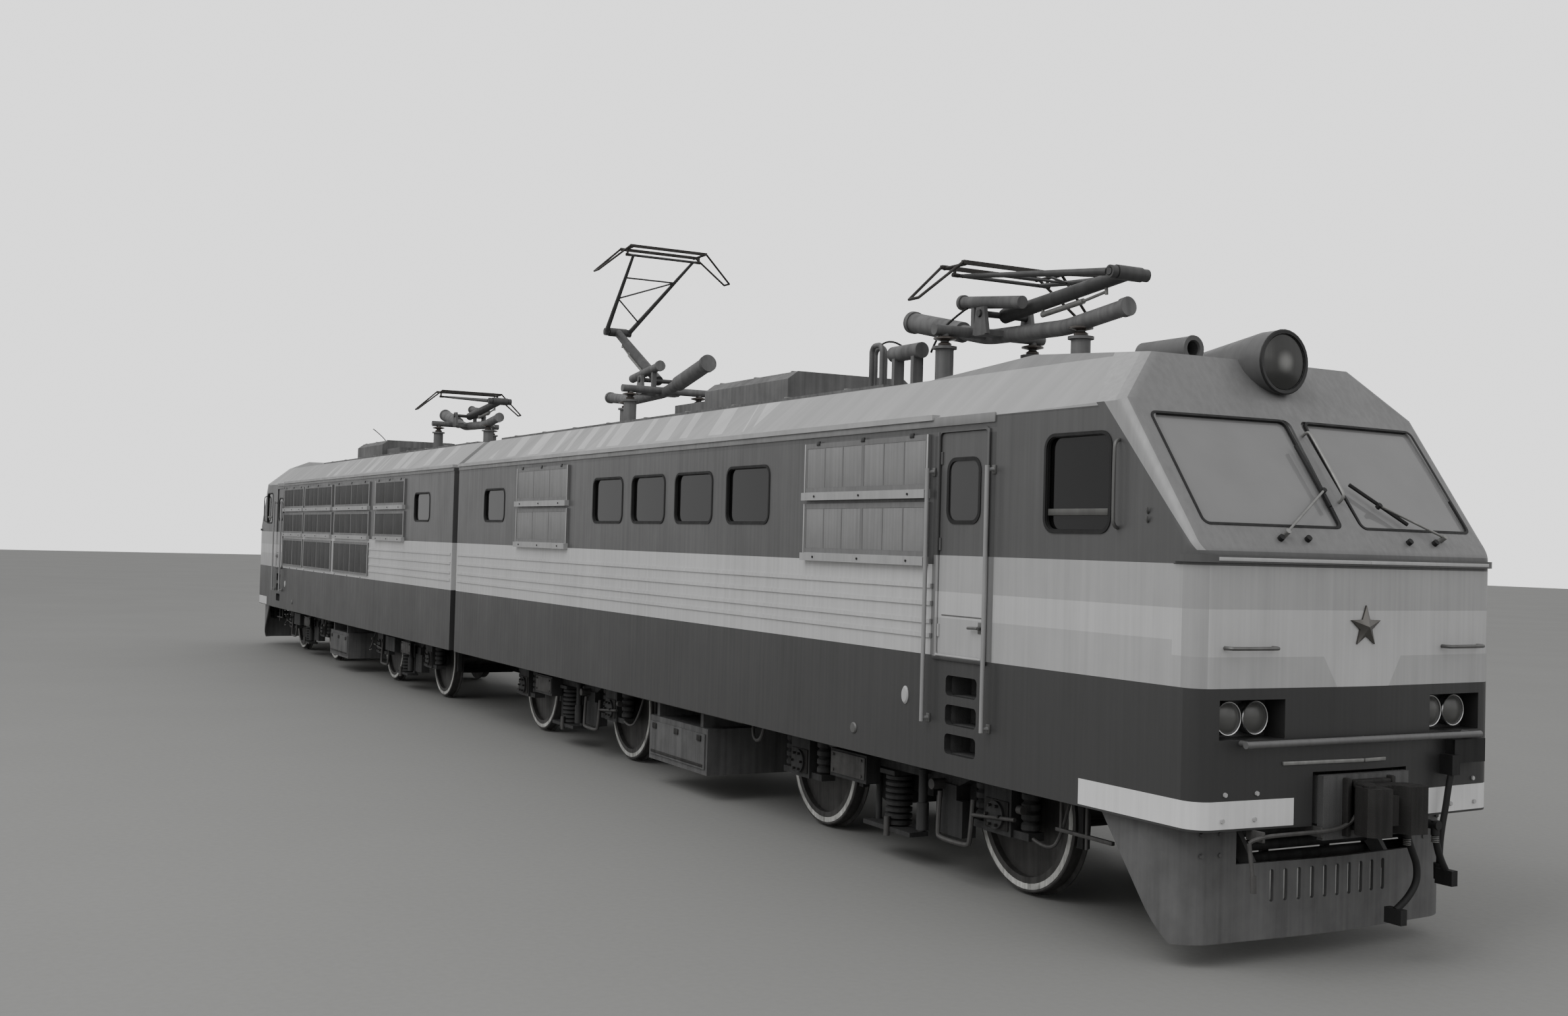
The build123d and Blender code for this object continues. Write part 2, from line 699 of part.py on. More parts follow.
def interior():
    """Cab floor, partitions, desk, seats and the plain machine block."""
    inner = CAB_HALF - WALL - 5
    end = HEADSTOCK_X - 10
    pieces = [block(BULKHEAD_X, end, -inner, inner, CAB_FLOOR_H - 50, CAB_FLOOR_H),
              block(BULKHEAD_X, end, -600, 600, FLOOR_H + FLOOR_T, CAB_FLOOR_H - 50)]
    head = CAB_FLOOR_H + CAB_DOOR_H
    for x in (BULKHEAD_X, CAB_WALL_X):
        for side in (-1, 1):
            reach = side_range(side, PASSAGE_HALF, inner)
            pieces.append(block(x, x + PARTITION_T, *reach, CAB_FLOOR_H, head))
        pieces.append(block(x, x + PARTITION_T, -inner, inner, head, CANT_H - 60))
    x0, x1 = DESK_X
    back = x1 - DESK_BASE
    pieces.append(prism_y([(x0, DESK_H), (x1, DESK_H + 60), (x1, CAB_FLOOR_H), (back, CAB_FLOOR_H),
                           (back, DESK_H - 160), (x0, DESK_H - 80)], -inner + 20, inner - 20))
    half = SEAT_W / 2
    for y in (-SEAT_Y, SEAT_Y):
        pieces.append(rod((SEAT_X, y, CAB_FLOOR_H), (SEAT_X, y, SEAT_H), 60))
        pieces.append(block(SEAT_X - half, SEAT_X + half, y - half, y + half, SEAT_H, SEAT_H + 90))
        pieces.append(prism_y([(SEAT_X - half, SEAT_H + 90), (SEAT_X - half + 90, SEAT_H + 90),
                               (SEAT_X - half + 20, SEAT_H + 700), (SEAT_X - half - 60, SEAT_H + 700)],
                              y - half + 20, y + half - 20))
    pieces.append(block(*MACHINE_X, *MACHINE_Y, FLOOR_H + FLOOR_T, MACHINE_TOP_H))
    return bundle(pieces)


# Lamps and front fittings

def lamps():
    """Headlamp in its long fairing, horn tube and four marker lamps."""
    rim = LAMP_X - LAMP_BARREL
    shape = [(LAMP_BACK_X, 0), (LAMP_BACK_X, LAMP_BACK_R), (rim, LAMP_R), (LAMP_X, LAMP_R),
             (LAMP_X, LAMP_LENS_R), (LAMP_X - LAMP_BOWL, LAMP_LENS_R), (LAMP_X - LAMP_BOWL, 0)]
    body = revolve(polygon(shape), Axis.X)
    lens = [(LAMP_X - LAMP_BOWL, 0), (LAMP_X - LAMP_BOWL, LAMP_LENS_R),
            (LAMP_X - LAMP_BOWL / 2, LAMP_LENS_R), (LAMP_X - LAMP_BOWL / 2, 0)]
    glass = revolve(polygon(lens), Axis.X)
    horn = rod((HORN_X[0], -HORN_Y, HORN_H), (HORN_X[1], -HORN_Y, HORN_H), HORN_R)
    horn -= rod((HORN_X[1] - 300, -HORN_Y, HORN_H), (HORN_X[1] + 1, -HORN_Y, HORN_H), HORN_BORE_R)
    solid = body_form()
    lift = Pos(0, 0, up(LAMP_H))
    pieces = [lift * body - solid, lift * glass, horn - solid]
    for y in MARKER_Y:
        for side in (-1, 1):
            back = LAMP_POCKET_X
            cup = rod((back, side * y, MARKER_H), (back + MARKER_RING_T, side * y, MARKER_H), MARKER_R)
            cup -= rod((back + MARKER_RING_T - 14, side * y, MARKER_H),
                       (back + MARKER_RING_T + 1, side * y, MARKER_H), MARKER_R - 14)
            pieces.append(cup)
    return bundle(pieces)


def coupler():
    """Automatic knuckle coupler: shank, head with its two teeth, and yoke box."""
    jaw_back = COUPLER_X - 250
    head = prism_z(polygon([(jaw_back, -170), (jaw_back + 70, -240), (COUPLER_X - 60, -260),
                            (COUPLER_X, -200), (COUPLER_X, -90), (COUPLER_X - 120, -60),
                            (COUPLER_X - 130, 60), (COUPLER_X - 20, 110), (COUPLER_X, 250),
                            (COUPLER_X - 60, 300), (jaw_back + 60, 260), (jaw_back, 150)]),
                   COUPLER_H - 170, COUPLER_H + 150)
    lock = block(COUPLER_X - 200, COUPLER_X - 70, -40, 50, COUPLER_H - 110, COUPLER_H + 90)
    shank = block(HEADSTOCK_X + HEADSTOCK_T, jaw_back + 10, -100, 100, COUPLER_H - 95, COUPLER_H + 95)
    return fused([head, lock, shank])


def section_link(kind):
    """Half of the coupling between the sections: its beam, with an eye at the front or a fork at the rear."""
    box_x, half = LINK_BOX
    beam = block(END_X + END_WALL, box_x, -half, half, SKIRT_H, FLOOR_H)
    low = LINK_H - LINK_T / 2
    high = LINK_H + LINK_T / 2
    if kind == "eye":
        levels = [(low, high)]
    else:
        gap = LINK_PLAY
        levels = [(low - gap - LINK_PLATE_T, low - gap), (high + gap, high + gap + LINK_PLATE_T)]
    pieces = []
    for h0, h1 in levels:
        pieces.append(block(0, END_X + END_WALL, -LINK_HALF_W, LINK_HALF_W, h0, h1))
        pieces.append(rod((0, 0, h0), (0, 0, h1), LINK_EYE_R))
    if kind == "eye":
        return beam, fused(pieces) - rod((0, 0, low - 5), (0, 0, high + 5), LINK_PIN_R + LINK_PLAY)
    pieces.append(rod((0, 0, levels[0][0]), (0, 0, levels[1][1]), LINK_PIN_R))
    return beam, fused(pieces)


def draft_box():
    """Striker plate and guide box round the coupler's shank, welded to the headstock."""
    box_x = NOSE_X - 20
    plate = block(box_x, box_x + 50, -POCKET_HALF + 40, POCKET_HALF - 40,
                  POCKET_H[0] - 90, POCKET_H[1] - 20)
    plate -= block(box_x - 5, box_x + 60, -150, 150, COUPLER_H - 130, COUPLER_H + 130)
    sides = [block(HEADSTOCK_X + HEADSTOCK_T, box_x, y0, y0 + 30, POCKET_H[0] + 10, POCKET_H[1] - 30)
             for y0 in (-POCKET_HALF + 50, POCKET_HALF - 80)]
    return [plate, *sides]


def plough():
    """Sheet deflector that wraps round under the cab, open behind the coupler and slotted below it."""
    back = PLOUGH_BACK_X[0]
    points = [(back, -PLOUGH_HALF), (PLOUGH_X - 90, -PLOUGH_HALF), (PLOUGH_X, 0),
              (PLOUGH_X - 90, PLOUGH_HALF), (back, PLOUGH_HALF)]
    radii = [PLOUGH_R, NOSE_CENTRE_R, PLOUGH_R]
    line = FilletPolyline(*points, radius=radii)
    closing = Polyline((back, PLOUGH_HALF), (back, -PLOUGH_HALF))
    face = make_face([*line.edges(), *closing.edges()])
    inner = offset(face, -PLOUGH_T, kind=Kind.INTERSECTION)
    sheet = prism_z(face, *PLOUGH_H) - prism_z(inner, PLOUGH_H[0] - 5, PLOUGH_H[1] + 5)
    sheet -= block(back - 10, back + PLOUGH_T + 10, -PLOUGH_HALF + PLOUGH_T, PLOUGH_HALF - PLOUGH_T,
                   0, PLOUGH_H[1] + 70)
    slant = [(back - 20, PLOUGH_H[1] + 1), (PLOUGH_BACK_X[1], PLOUGH_H[0] - 6),
             (back - 20, PLOUGH_H[0] - 6)]
    sheet -= prism_y(slant, -PLOUGH_HALF - 10, PLOUGH_HALF + 10)
    sheet -= block(PLOUGH_X - 250, PLOUGH_X + 50, -PLOUGH_OPEN_HALF, PLOUGH_OPEN_HALF,
                   PLOUGH_FRONT_H, PLOUGH_H[1] + 1)
    width, tall, low = PLOUGH_SLOT
    for i in range(PLOUGH_SLOTS):
        y = (i - (PLOUGH_SLOTS - 1) / 2) * PLOUGH_SLOT_PITCH
        slot = Pos(0, y, up(low + tall / 2)) * Rot(0, 90, 0) * SlotOverall(tall, width)
        sheet -= extrude(Pos(PLOUGH_X - 200, 0, 0) * slot, 300)
    arms = []
    for side in (-1, 1):
        y0, y1 = side_range(side, 620, 660)
        arms.append(prism_y([(HEADSTOCK_X + 20, POCKET_H[0]), (HEADSTOCK_X + 220, POCKET_H[0]),
                             (PLOUGH_X - 60, PLOUGH_FRONT_H - 60),
                             (PLOUGH_X - 60, PLOUGH_FRONT_H - 200)], y0, y1))
        foot_y = side * (PLOUGH_HALF - PLOUGH_T - 50)
        arms.append(block(back + 60, HEADSTOCK_X + 240, foot_y - side * 49, foot_y + side * 50,
                          PLOUGH_H[1] - 60, PLOUGH_H[1]))
    return fused([sheet] + arms)


def hose_path(points, x):
    """Straight runs joined by tangent arcs, each as large as its two runs allow."""
    places = [Vector(x, y, up(h)) for y, h in points]
    radii = []
    for before, here, after in zip(places, places[1:], places[2:]):
        turn = math.radians((here - before).get_angle(after - here))
        shorter = min((here - before).length, (after - here).length)
        radii.append(0.45 * shorter / math.tan(turn / 2))
    return FilletPolyline(*places, radius=radii)


def hose_tube(points, x, radius):
    path = hose_path(points, x)
    start = Plane(origin=path @ 0, z_dir=path % 0)
    return sweep(start * Circle(radius), path=path)


def brake_hoses():
    """Two brake hoses with cocks and coupling heads, and the jumper cable in its box, on the front."""
    pieces = []
    long_x, wide, tall = HOSE_HEAD
    for points in HOSES:
        (y0, h0), (y1, h1) = points[0], points[-1]
        back = NOSE_X + 30 if y0 < POCKET_HALF else LAMP_POCKET_X
        cock = rod((back, y0, h0 + 50), (HOSE_X + HOSE_COCK_R, y0, h0 + 50), HOSE_COCK_R)
        collar = rod((HOSE_X, y0, h0 - 20), (HOSE_X, y0, h0 + 80), HOSE_COCK_R * 0.9)
        head = block(HOSE_X - long_x, HOSE_X + long_x, y1 - wide / 2, y1 + wide / 2, h1 - tall, h1 + 15)
        pieces.append(fused([cock, collar, hose_tube(points, HOSE_X, HOSE_R), head]) - body_form())
    y0, y1, h0, h1 = JUMPER_BOX
    box = block(NOSE_X - NOSE_V * y1 - 60, NOSE_X + 30, y0, y1, h0, h1)
    (ys, hs), (ye, he) = JUMPER[0], JUMPER[-1]
    arm = block(NOSE_X - 90, NOSE_X + 60, y0 - 60, y0 + 20, hs - 30, h0 + 60)
    plug = rod((NOSE_X + 30, ye, he), (NOSE_X + 30, ye + 4, he - 110), JUMPER_R * 1.8)
    pieces.append(fused([box, arm, hose_tube(JUMPER, NOSE_X + 30, JUMPER_R), plug]) - body_form())
    return bundle(pieces)


def handrails():
    """Door handrails on both sides and the bar across the front."""
    bars = []
    for side in (-1, 1):
        for x in (DOOR_X - 90, DOOR_X + DOOR_W + 90):
            out_y = side * (BODY_HALF + DOOR_RAIL_OUT)
            low, high = DOOR_RAIL_H
            bar = [rod((x, out_y, low), (x, out_y, high), RAIL_R)]
            for h in (low + 30, high - 30):
                bar.append(rod((x, side * BODY_HALF, h), (x, out_y, h), RAIL_R * 0.8))
            bars.append(fused(bar))
    face_x = NOSE_X - NOSE_V * BAR_HALF
    bar_x = NOSE_X + BAR_OUT - NOSE_V * BAR_HALF / 2
    bar = [rod((bar_x, -BAR_HALF, BAR_H), (bar_x, BAR_HALF, BAR_H), RAIL_R * 1.3)]
    stubs = [rod((face_x - 30, y, BAR_H), (bar_x, y, BAR_H), RAIL_R)
             for y in (-BAR_HALF + 60, 0, BAR_HALF - 60)]
    bars.append(fused(bar + stubs) - body_form())
    return bundle(bars)


def gangway():
    """Half of the rubber-faced gangway between the sections, with its walk-through passage."""
    frame = block(GANGWAY_GAP / 2, END_X, -GANGWAY_HALF, GANGWAY_HALF, *GANGWAY_H)
    frame -= block(-10, END_X + 10, -PASSAGE_HALF, PASSAGE_HALF, *PASSAGE_H)
    low, high = GANGWAY_H
    groove = block(END_X - 45, END_X - 25, -GANGWAY_HALF - 5, GANGWAY_HALF + 5, low - 5, high + 5)
    groove -= block(END_X - 45, END_X - 25, -GANGWAY_HALF + 40, GANGWAY_HALF - 40, low + 40, high - 40)
    return frame - groove


# Roof equipment

def insulator(x, y, high):
    """A post insulator on its round plinth, with one wide shed, drawn as a turned profile."""
    flange_r, flange_t = PLINTH_FLANGE
    shed = ROOF_H + SHED_RISE
    foot = shed - 60
    profile = [(0, ROOF_H), (PLINTH_R, ROOF_H), (PLINTH_R, foot - flange_t), (flange_r, foot - flange_t),
               (flange_r, foot), (INSULATOR_R, foot), (INSULATOR_R, shed), (SHED_R, shed + SHED_T / 3),
               (SHED_R, shed + 2 * SHED_T / 3), (INSULATOR_R, shed + SHED_T), (INSULATOR_R, high),
               (0, high)]
    return Pos(x, y, 0) * revolve(Plane.XZ * polygon([(r, up(h)) for r, h in profile]), Axis.Z)


def base_frame(spot):
    """A pantograph's base: bent main tube with its thick end, cross tube, ears, cylinder, insulators."""
    pivot_x, direction, _ = PANTOGRAPHS[spot]
    x = abs(pivot_x)
    if pivot_x < 0:
        direction = -direction

    def along(distance, rise):
        return Vector(x + direction * distance, 0, up(ROOF_H + rise))

    ends = [along(*point) for point in BASE_TUBE]
    path = FilletPolyline(*ends, radius=BASE_BEND_R)
    start = Plane(origin=path @ 0, z_dir=path % 0)
    tube = [sweep(start * Circle(BASE_TUBE_R), path=path)]
    for end, inner in ((ends[0], ends[1]), (ends[-1], ends[-2])):
        back = (inner - end).normalized()
        radius = BASE_CAP_R if end is ends[0] else BASE_TUBE_R * 1.15
        tube.append(Solid.make_cylinder(radius, BASE_CAP_T, Plane(origin=end - back * 10, z_dir=back)))
    back = (ends[1] - ends[0]).normalized()
    tube.append(Solid.make_cylinder(BASE_SLEEVE_R, BASE_SLEEVE_L, Plane(origin=ends[0], z_dir=back)))
    cross_x = x + direction * INSULATOR_SPOTS[0][0]
    height = ROOF_H + BASE_TUBE[1][1] + CROSS_LIFT
    tube.append(rod((cross_x, -620, height), (cross_x, 620, height), CROSS_TUBE_R))
    for dx, y in INSULATOR_SPOTS:
        tube.append(insulator(x + direction * dx, y, height if y else ROOF_H + BASE_TUBE[2][1]))
    tube.append(block(x - EAR_HALF + 30, x + EAR_HALF - 30, -EAR_SPAN[1], EAR_SPAN[1],
                      ROOF_H + EAR_RISE - 10, ROOF_H + EAR_RISE + 40))
    low = ROOF_H + EAR_RISE
    for side in (-1, 1):
        y0, y1 = side_range(side, *EAR_SPAN)
        ear = prism_y([(x - EAR_HALF, low), (x + EAR_HALF, low), (x + 60, PIVOT_PANTO_H + 60),
                       (x - 60, PIVOT_PANTO_H + 60)], y0, y1)
        tube.append(ear - rod((x, y0 - 5, PIVOT_PANTO_H), (x, y1 + 5, PIVOT_PANTO_H), SHAFT_R + SHAFT_PLAY))
    return bundle([fused(tube) - body_form(), lift_cylinder(x, direction)])


def lift_cylinder(x, direction):
    """The cylinder that raises the arm, beside it, with the foot that joins it to the cross tube."""
    (near, near_rise), (far, far_rise) = LIFT_CYLINDER
    y = LIFT_CYLINDER_Y
    ends = [(x + direction * d, y, ROOF_H + rise) for d, rise in LIFT_CYLINDER]
    foot_x = x + direction * INSULATOR_SPOTS[0][0]
    foot_low = ROOF_H + BASE_TUBE[1][1] + CROSS_LIFT + CROSS_TUBE_R - 10
    share = (INSULATOR_SPOTS[0][0] - near) / (far - near)
    foot_high = ROOF_H + near_rise + (far_rise - near_rise) * share
    foot = block(foot_x - 25, foot_x + 25, y - 30, y + 30, foot_low, foot_high)
    rim = rod(ends[0], (ends[0][0] + direction * 40, y, ends[0][2] - 5), LIFT_CYLINDER_R * 1.25)
    cross_h = foot_low - CROSS_TUBE_R + 10
    cross = rod((foot_x, y - 60, cross_h), (foot_x, y + 60, cross_h), CROSS_TUBE_R)
    return fused([rod(*ends, LIFT_CYLINDER_R), rim, foot]) - cross


def bus_pipe(x0, x1, y):
    """A bent high-voltage pipe that stands on the roof on both its ends."""
    top = ROOF_H + BUS_PIPE_TOP
    corners = [Vector(x0, y, up(ROOF_H)), Vector(x0, y, up(top)),
               Vector(x1, y, up(top)), Vector(x1, y, up(ROOF_H))]
    path = FilletPolyline(*corners, radius=BUS_BEND_R)
    return sweep(Plane(origin=path @ 0, z_dir=path % 0) * Circle(BUS_PIPE_R), path=path)


def roof_gear(spots):
    """Pantograph bases, resistor hood, low box and breaker on a section's roof."""
    x0, x1, half, tall = HOOD
    hood = prism_x([(-half, ROOF_H), (half, ROOF_H), (half, ROOF_H + tall - 90),
                    (half - 120, ROOF_H + tall), (-half + 120, ROOF_H + tall),
                    (-half, ROOF_H + tall - 90)], x0, x1)
    lx0, lx1, low_half, low_tall = LOW_BOX
    low_box = block(lx0, lx1, -low_half, low_half, ROOF_H, ROOF_H + low_tall)
    x0, x1, y, height, radius = BREAKER
    drum = rod((x0, y, ROOF_H + height), (x1, y, ROOF_H + height), radius)
    legs = [block(x, x + 50, y - radius + 20, y + radius - 20, ROOF_H, ROOF_H + height)
            for x in (x0 + 60, x1 - 110)]
    x0, x1, y, wide, thick = BOARD
    boards = [block(x0, x1, side * y - wide / 2, side * y + wide / 2, ROOF_H, ROOF_H + thick)
              for side in (-1, 1)]
    pipes = [bus_pipe(*feet) for feet in BUS_PIPES]
    return bundle([hood, low_box, fused([drum] + legs), *pipes, *boards, *[base_frame(s) for s in spots]])


# Pantograph arms

def panto_arms(spot):
    """Lower arm, upper arm and head of one pantograph at its resting angle, in place on the roof."""
    pivot_x, direction, angle = PANTOGRAPHS[spot]
    lift = math.radians(angle)
    pivot = (0, PIVOT_PANTO_H)
    knee = (LOWER_ARM * math.cos(lift), PIVOT_PANTO_H + LOWER_ARM * math.sin(lift))
    apex = (knee[0] - UPPER_ARM * math.cos(lift), knee[1] + UPPER_ARM * math.sin(lift))

    def at(point, y, along=0, rise=0):
        return (pivot_x + direction * (point[0] + along), y, point[1] + rise)

    def between(share, side):
        y = side * (KNEE_HALF - 18 + (APEX_HALF - KNEE_HALF + 18) * share)
        return at((knee[0] + (apex[0] - knee[0]) * share, knee[1] + (apex[1] - knee[1]) * share), y)

    boss_in = KNEE_HALF - BOSS_T
    lower = fused([rod(at(pivot, -EAR_SPAN[1] - 20), at(pivot, EAR_SPAN[1] + 20), SHAFT_R),
                   rod(at(pivot, 0), at(knee, 0), *LOWER_ARM_R),
                   rod(at(knee, -boss_in + 8), at(knee, boss_in - 8), KNEE_TUBE_R),
                   rod(at(knee, -KNEE_HALF - 15), at(knee, KNEE_HALF + 15), SHAFT_R)])
    tubes = [rod(at(apex, -APEX_HALF - 40), at(apex, APEX_HALF + 40), UPPER_ARM_R[1] * 0.9),
             rod(between(0.72, -1), between(0.72, 1), BRACE_R),
             rod(between(0.45, -1), between(0.72, 1), BRACE_R),
             rod(between(0.45, -1), between(0.16, 1), BRACE_R)]
    for side in (-1, 1):
        tubes.append(rod(at(knee, side * boss_in), at(knee, side * (KNEE_HALF + 10)), SHAFT_R + BOSS_WALL))
        tubes.append(rod(between((SHAFT_R + BOSS_WALL - 8) / UPPER_ARM, side), at(apex, side * APEX_HALF),
                         *UPPER_ARM_R))
    bore = rod(at(knee, -KNEE_HALF - 30), at(knee, KNEE_HALF + 30), SHAFT_R + SHAFT_PLAY)
    return {"lower_arm": lower, "upper_arm": fused(tubes) - bore, "contact_head": panto_head(at, apex)}


def panto_head(at, apex):
    """Two contact strips with their sprung carrier and the drooping horns at both ends."""
    head = []
    tip_y = STRIP_HALF + HORN_OUT
    tip_rise = STRIP_RISE - HORN_DROP
    for along in (-STRIP_GAP, STRIP_GAP):
        middle = at(apex, 0, along)[0]
        head.append(block(middle - STRIP_W / 2, middle + STRIP_W / 2, -STRIP_HALF, STRIP_HALF,
                          apex[1] + STRIP_RISE, apex[1] + STRIP_RISE + STRIP_T))
        for side in (-1, 1):
            bend = at(apex, side * STRIP_HALF, along, STRIP_RISE + HORN_ROD_R)
            tip = at(apex, side * tip_y, along * 0.45, tip_rise)
            head.append(rod((bend[0], bend[1] - side * 40, bend[2]), bend, HORN_ROD_R))
            head.append(rod(bend, tip, HORN_ROD_R))
            head += [Pos(p[0], p[1], up(p[2])) * Sphere(HORN_ROD_R) for p in (bend, tip)]
    for side in (-1, 1):
        head.append(rod(at(apex, side * tip_y, -STRIP_GAP * 0.45, tip_rise),
                        at(apex, side * tip_y, STRIP_GAP * 0.45, tip_rise), HORN_ROD_R))
        y = side * (APEX_HALF + 85)
        rise = STRIP_RISE + 5
        head.append(rod(at(apex, y, -STRIP_GAP, rise), at(apex, y, STRIP_GAP, rise), CARRIER_R))
        head.append(rod(at(apex, y), at(apex, y, 0, STRIP_RISE), CARRIER_R))
        near, far = side * (APEX_HALF + 45), side * (APEX_HALF + 110)
        head.append(rod(at(apex, near), at(apex, far), UPPER_ARM_R[1]))
    return fused(head)


# Bogies

def wheelset():
    """One axle with its two flanged wheels, centred on the origin, as a solid of revolution."""
    radius = WHEEL_D / 2
    back = BACK_TO_BACK / 2
    outer = back + TYRE_W
    mid = back + TYRE_W / 2
    rim = radius - TYRE_T - RIM_T
    profile = [(0, 0), (AXLE_R, 0), (AXLE_R, back + 10), (WHEEL_HUB_R, back + 10),
               (WHEEL_HUB_R, mid - WEB_T),
               (rim, mid - WEB_T / 2), (rim, back), (radius + FLANGE_H - 8, back),
               (radius + FLANGE_H, back + 8), (radius + FLANGE_H, back + FLANGE_T - 16),
               (radius, back + FLANGE_T), (radius, outer - 8), (radius - 8, outer), (rim, outer),
               (rim, mid + WEB_T / 2), (WHEEL_HUB_R, mid + WEB_T), (WHEEL_HUB_R, outer),
               (JOURNAL_R, outer), (JOURNAL_R, JOURNAL_END), (0, JOURNAL_END)]
    half = revolve(polygon(profile), Axis.Y)
    return fused([half, mirror(half, Plane.XZ)])


def bogie_frame():
    """Frame with its centre at the origin: side beams, end beams, transom, motors and brake cylinders."""
    ramp = SIDE_BELLY_HALF + SIDE_BELLY_RAMP
    beam = [(-BOGIE_HALF, SIDE_BEAM_LOW), (-ramp, SIDE_BEAM_LOW), (-SIDE_BELLY_HALF, SIDE_BELLY_LOW),
            (SIDE_BELLY_HALF, SIDE_BELLY_LOW), (ramp, SIDE_BEAM_LOW), (BOGIE_HALF, SIDE_BEAM_LOW),
            (BOGIE_HALF, SIDE_BEAM_TOP), (-BOGIE_HALF, SIDE_BEAM_TOP)]
    half = SPRING_Y - SPRING_R - SPRING_CLEAR
    transom = block(-TRANSOM_HALF, TRANSOM_HALF, -SIDE_BEAM_IN, SIDE_BEAM_IN, SIDE_BELLY_LOW, SIDE_BEAM_TOP)
    transom += block(-TRANSOM_HALF, TRANSOM_HALF, -half, half, TRANSOM_LOW, SIDE_BELLY_LOW)
    pieces = [transom - rod((0, 0, 0), (0, 0, 2 * SIDE_BEAM_TOP), PIVOT_R + PIVOT_PLAY)]
    for side in (-1, 1):
        y = side * (SIDE_BEAM_IN + SIDE_BEAM_OUT) / 2
        pieces.append(prism_y(beam, *side_range(side, SIDE_BEAM_IN, SIDE_BEAM_OUT)))
        pieces.append(rod((0, y, SIDE_BEAM_TOP), (0, y, SIDE_BEAM_TOP + BEARER_T), BEARER_R * 0.9))
        x0, x1, low, high, deep = VALVE_BOX
        pieces.append(block(x0, x1, *side_range(side, SIDE_BEAM_OUT, SIDE_BEAM_OUT + deep), low, high))
        x0, x1, low, high, deep = BRAKE_CYLINDER
        reach = side_range(side, SIDE_BEAM_IN, SIDE_BEAM_IN + deep)
        bracket = block(x0 + 90, x1 - 90, *reach, high - 10, SIDE_BELLY_LOW)
        pieces.append(fused([block(x0, x1, *reach, low, high), bracket]))
    for x in (-BOGIE_HALF, BOGIE_HALF - END_BEAM_W):
        pieces.append(block(x, x + END_BEAM_W, -SIDE_BEAM_IN, SIDE_BEAM_IN, SIDE_BEAM_LOW, SIDE_BEAM_TOP))
    middle = WHEEL_D / 2 + 20
    for way in (-1, 1):
        x = way * MOTOR_X
        motor = [rod((x, -MOTOR_HALF_L, middle), (x, MOTOR_HALF_L, middle), MOTOR_R)]
        x0, x1 = sorted((way * TRANSOM_HALF, x + way * MOTOR_R / 2))
        motor.append(block(x0, x1, -MOTOR_HALF_L, MOTOR_HALF_L, SIDE_BEAM_LOW - 40, SIDE_BEAM_TOP - 20))
        pieces.append(fused(motor))
    return bundle(pieces + brake_shoes())


def brake_shoes():
    """Shoes ahead of and behind each wheel, clear of its tread, on hangers from the side beams."""
    middle = WHEEL_D / 2
    near = WHEEL_D / 2 + SHOE_GAP
    shoes = []
    for side in (-1, 1):
        y0, y1 = side_range(side, *SHOE_Y)
        for axle_x in (-WHEELBASE / 2, WHEELBASE / 2):
            for way in (-1, 1):
                x0, x1 = sorted((axle_x + way * (near - 30), axle_x + way * (near + SHOE_T)))
                shoe = block(x0, x1, y0, y1, middle - SHOE_HALF_H, middle + SHOE_HALF_H)
                shoe -= rod((axle_x, y0 - 5, middle), (axle_x, y1 + 5, middle), near)
                edge = axle_x + way * (near + SHOE_T)
                h0, h1 = sorted((edge, edge - way * HANGER_T))
                hanger = block(h0, h1, y0, y1, middle, SIDE_BEAM_LOW + 60)
                beam = block(h0, h1, *side_range(side, SHOE_Y[0], SIDE_BEAM_IN),
                             SIDE_BEAM_LOW + 20, SIDE_BEAM_LOW + 80)
                shoes.append(fused([shoe, hanger, beam]))
    return shoes


def coil_profile(radius, low, high, coils):
    """Half outline of a coil spring seen from the side: a row of round-cornered coils."""
    pitch = (high - low) / coils
    core = radius * 0.72
    points = [(0, low)]
    for i in range(coils):
        base = low + i * pitch
        points += [(core, base), (radius, base + pitch * 0.25), (radius, base + pitch * 0.75),
                   (core, base + pitch)]
    points.append((0, high))
    return [(r, up(h)) for r, h in points]


def coil_spring(x, y, radius, low, high, coils):
    spring = revolve(Plane.XZ * polygon(coil_profile(radius, low, high, coils)), Axis.Z)
    return Pos(x, y, 0) * spring


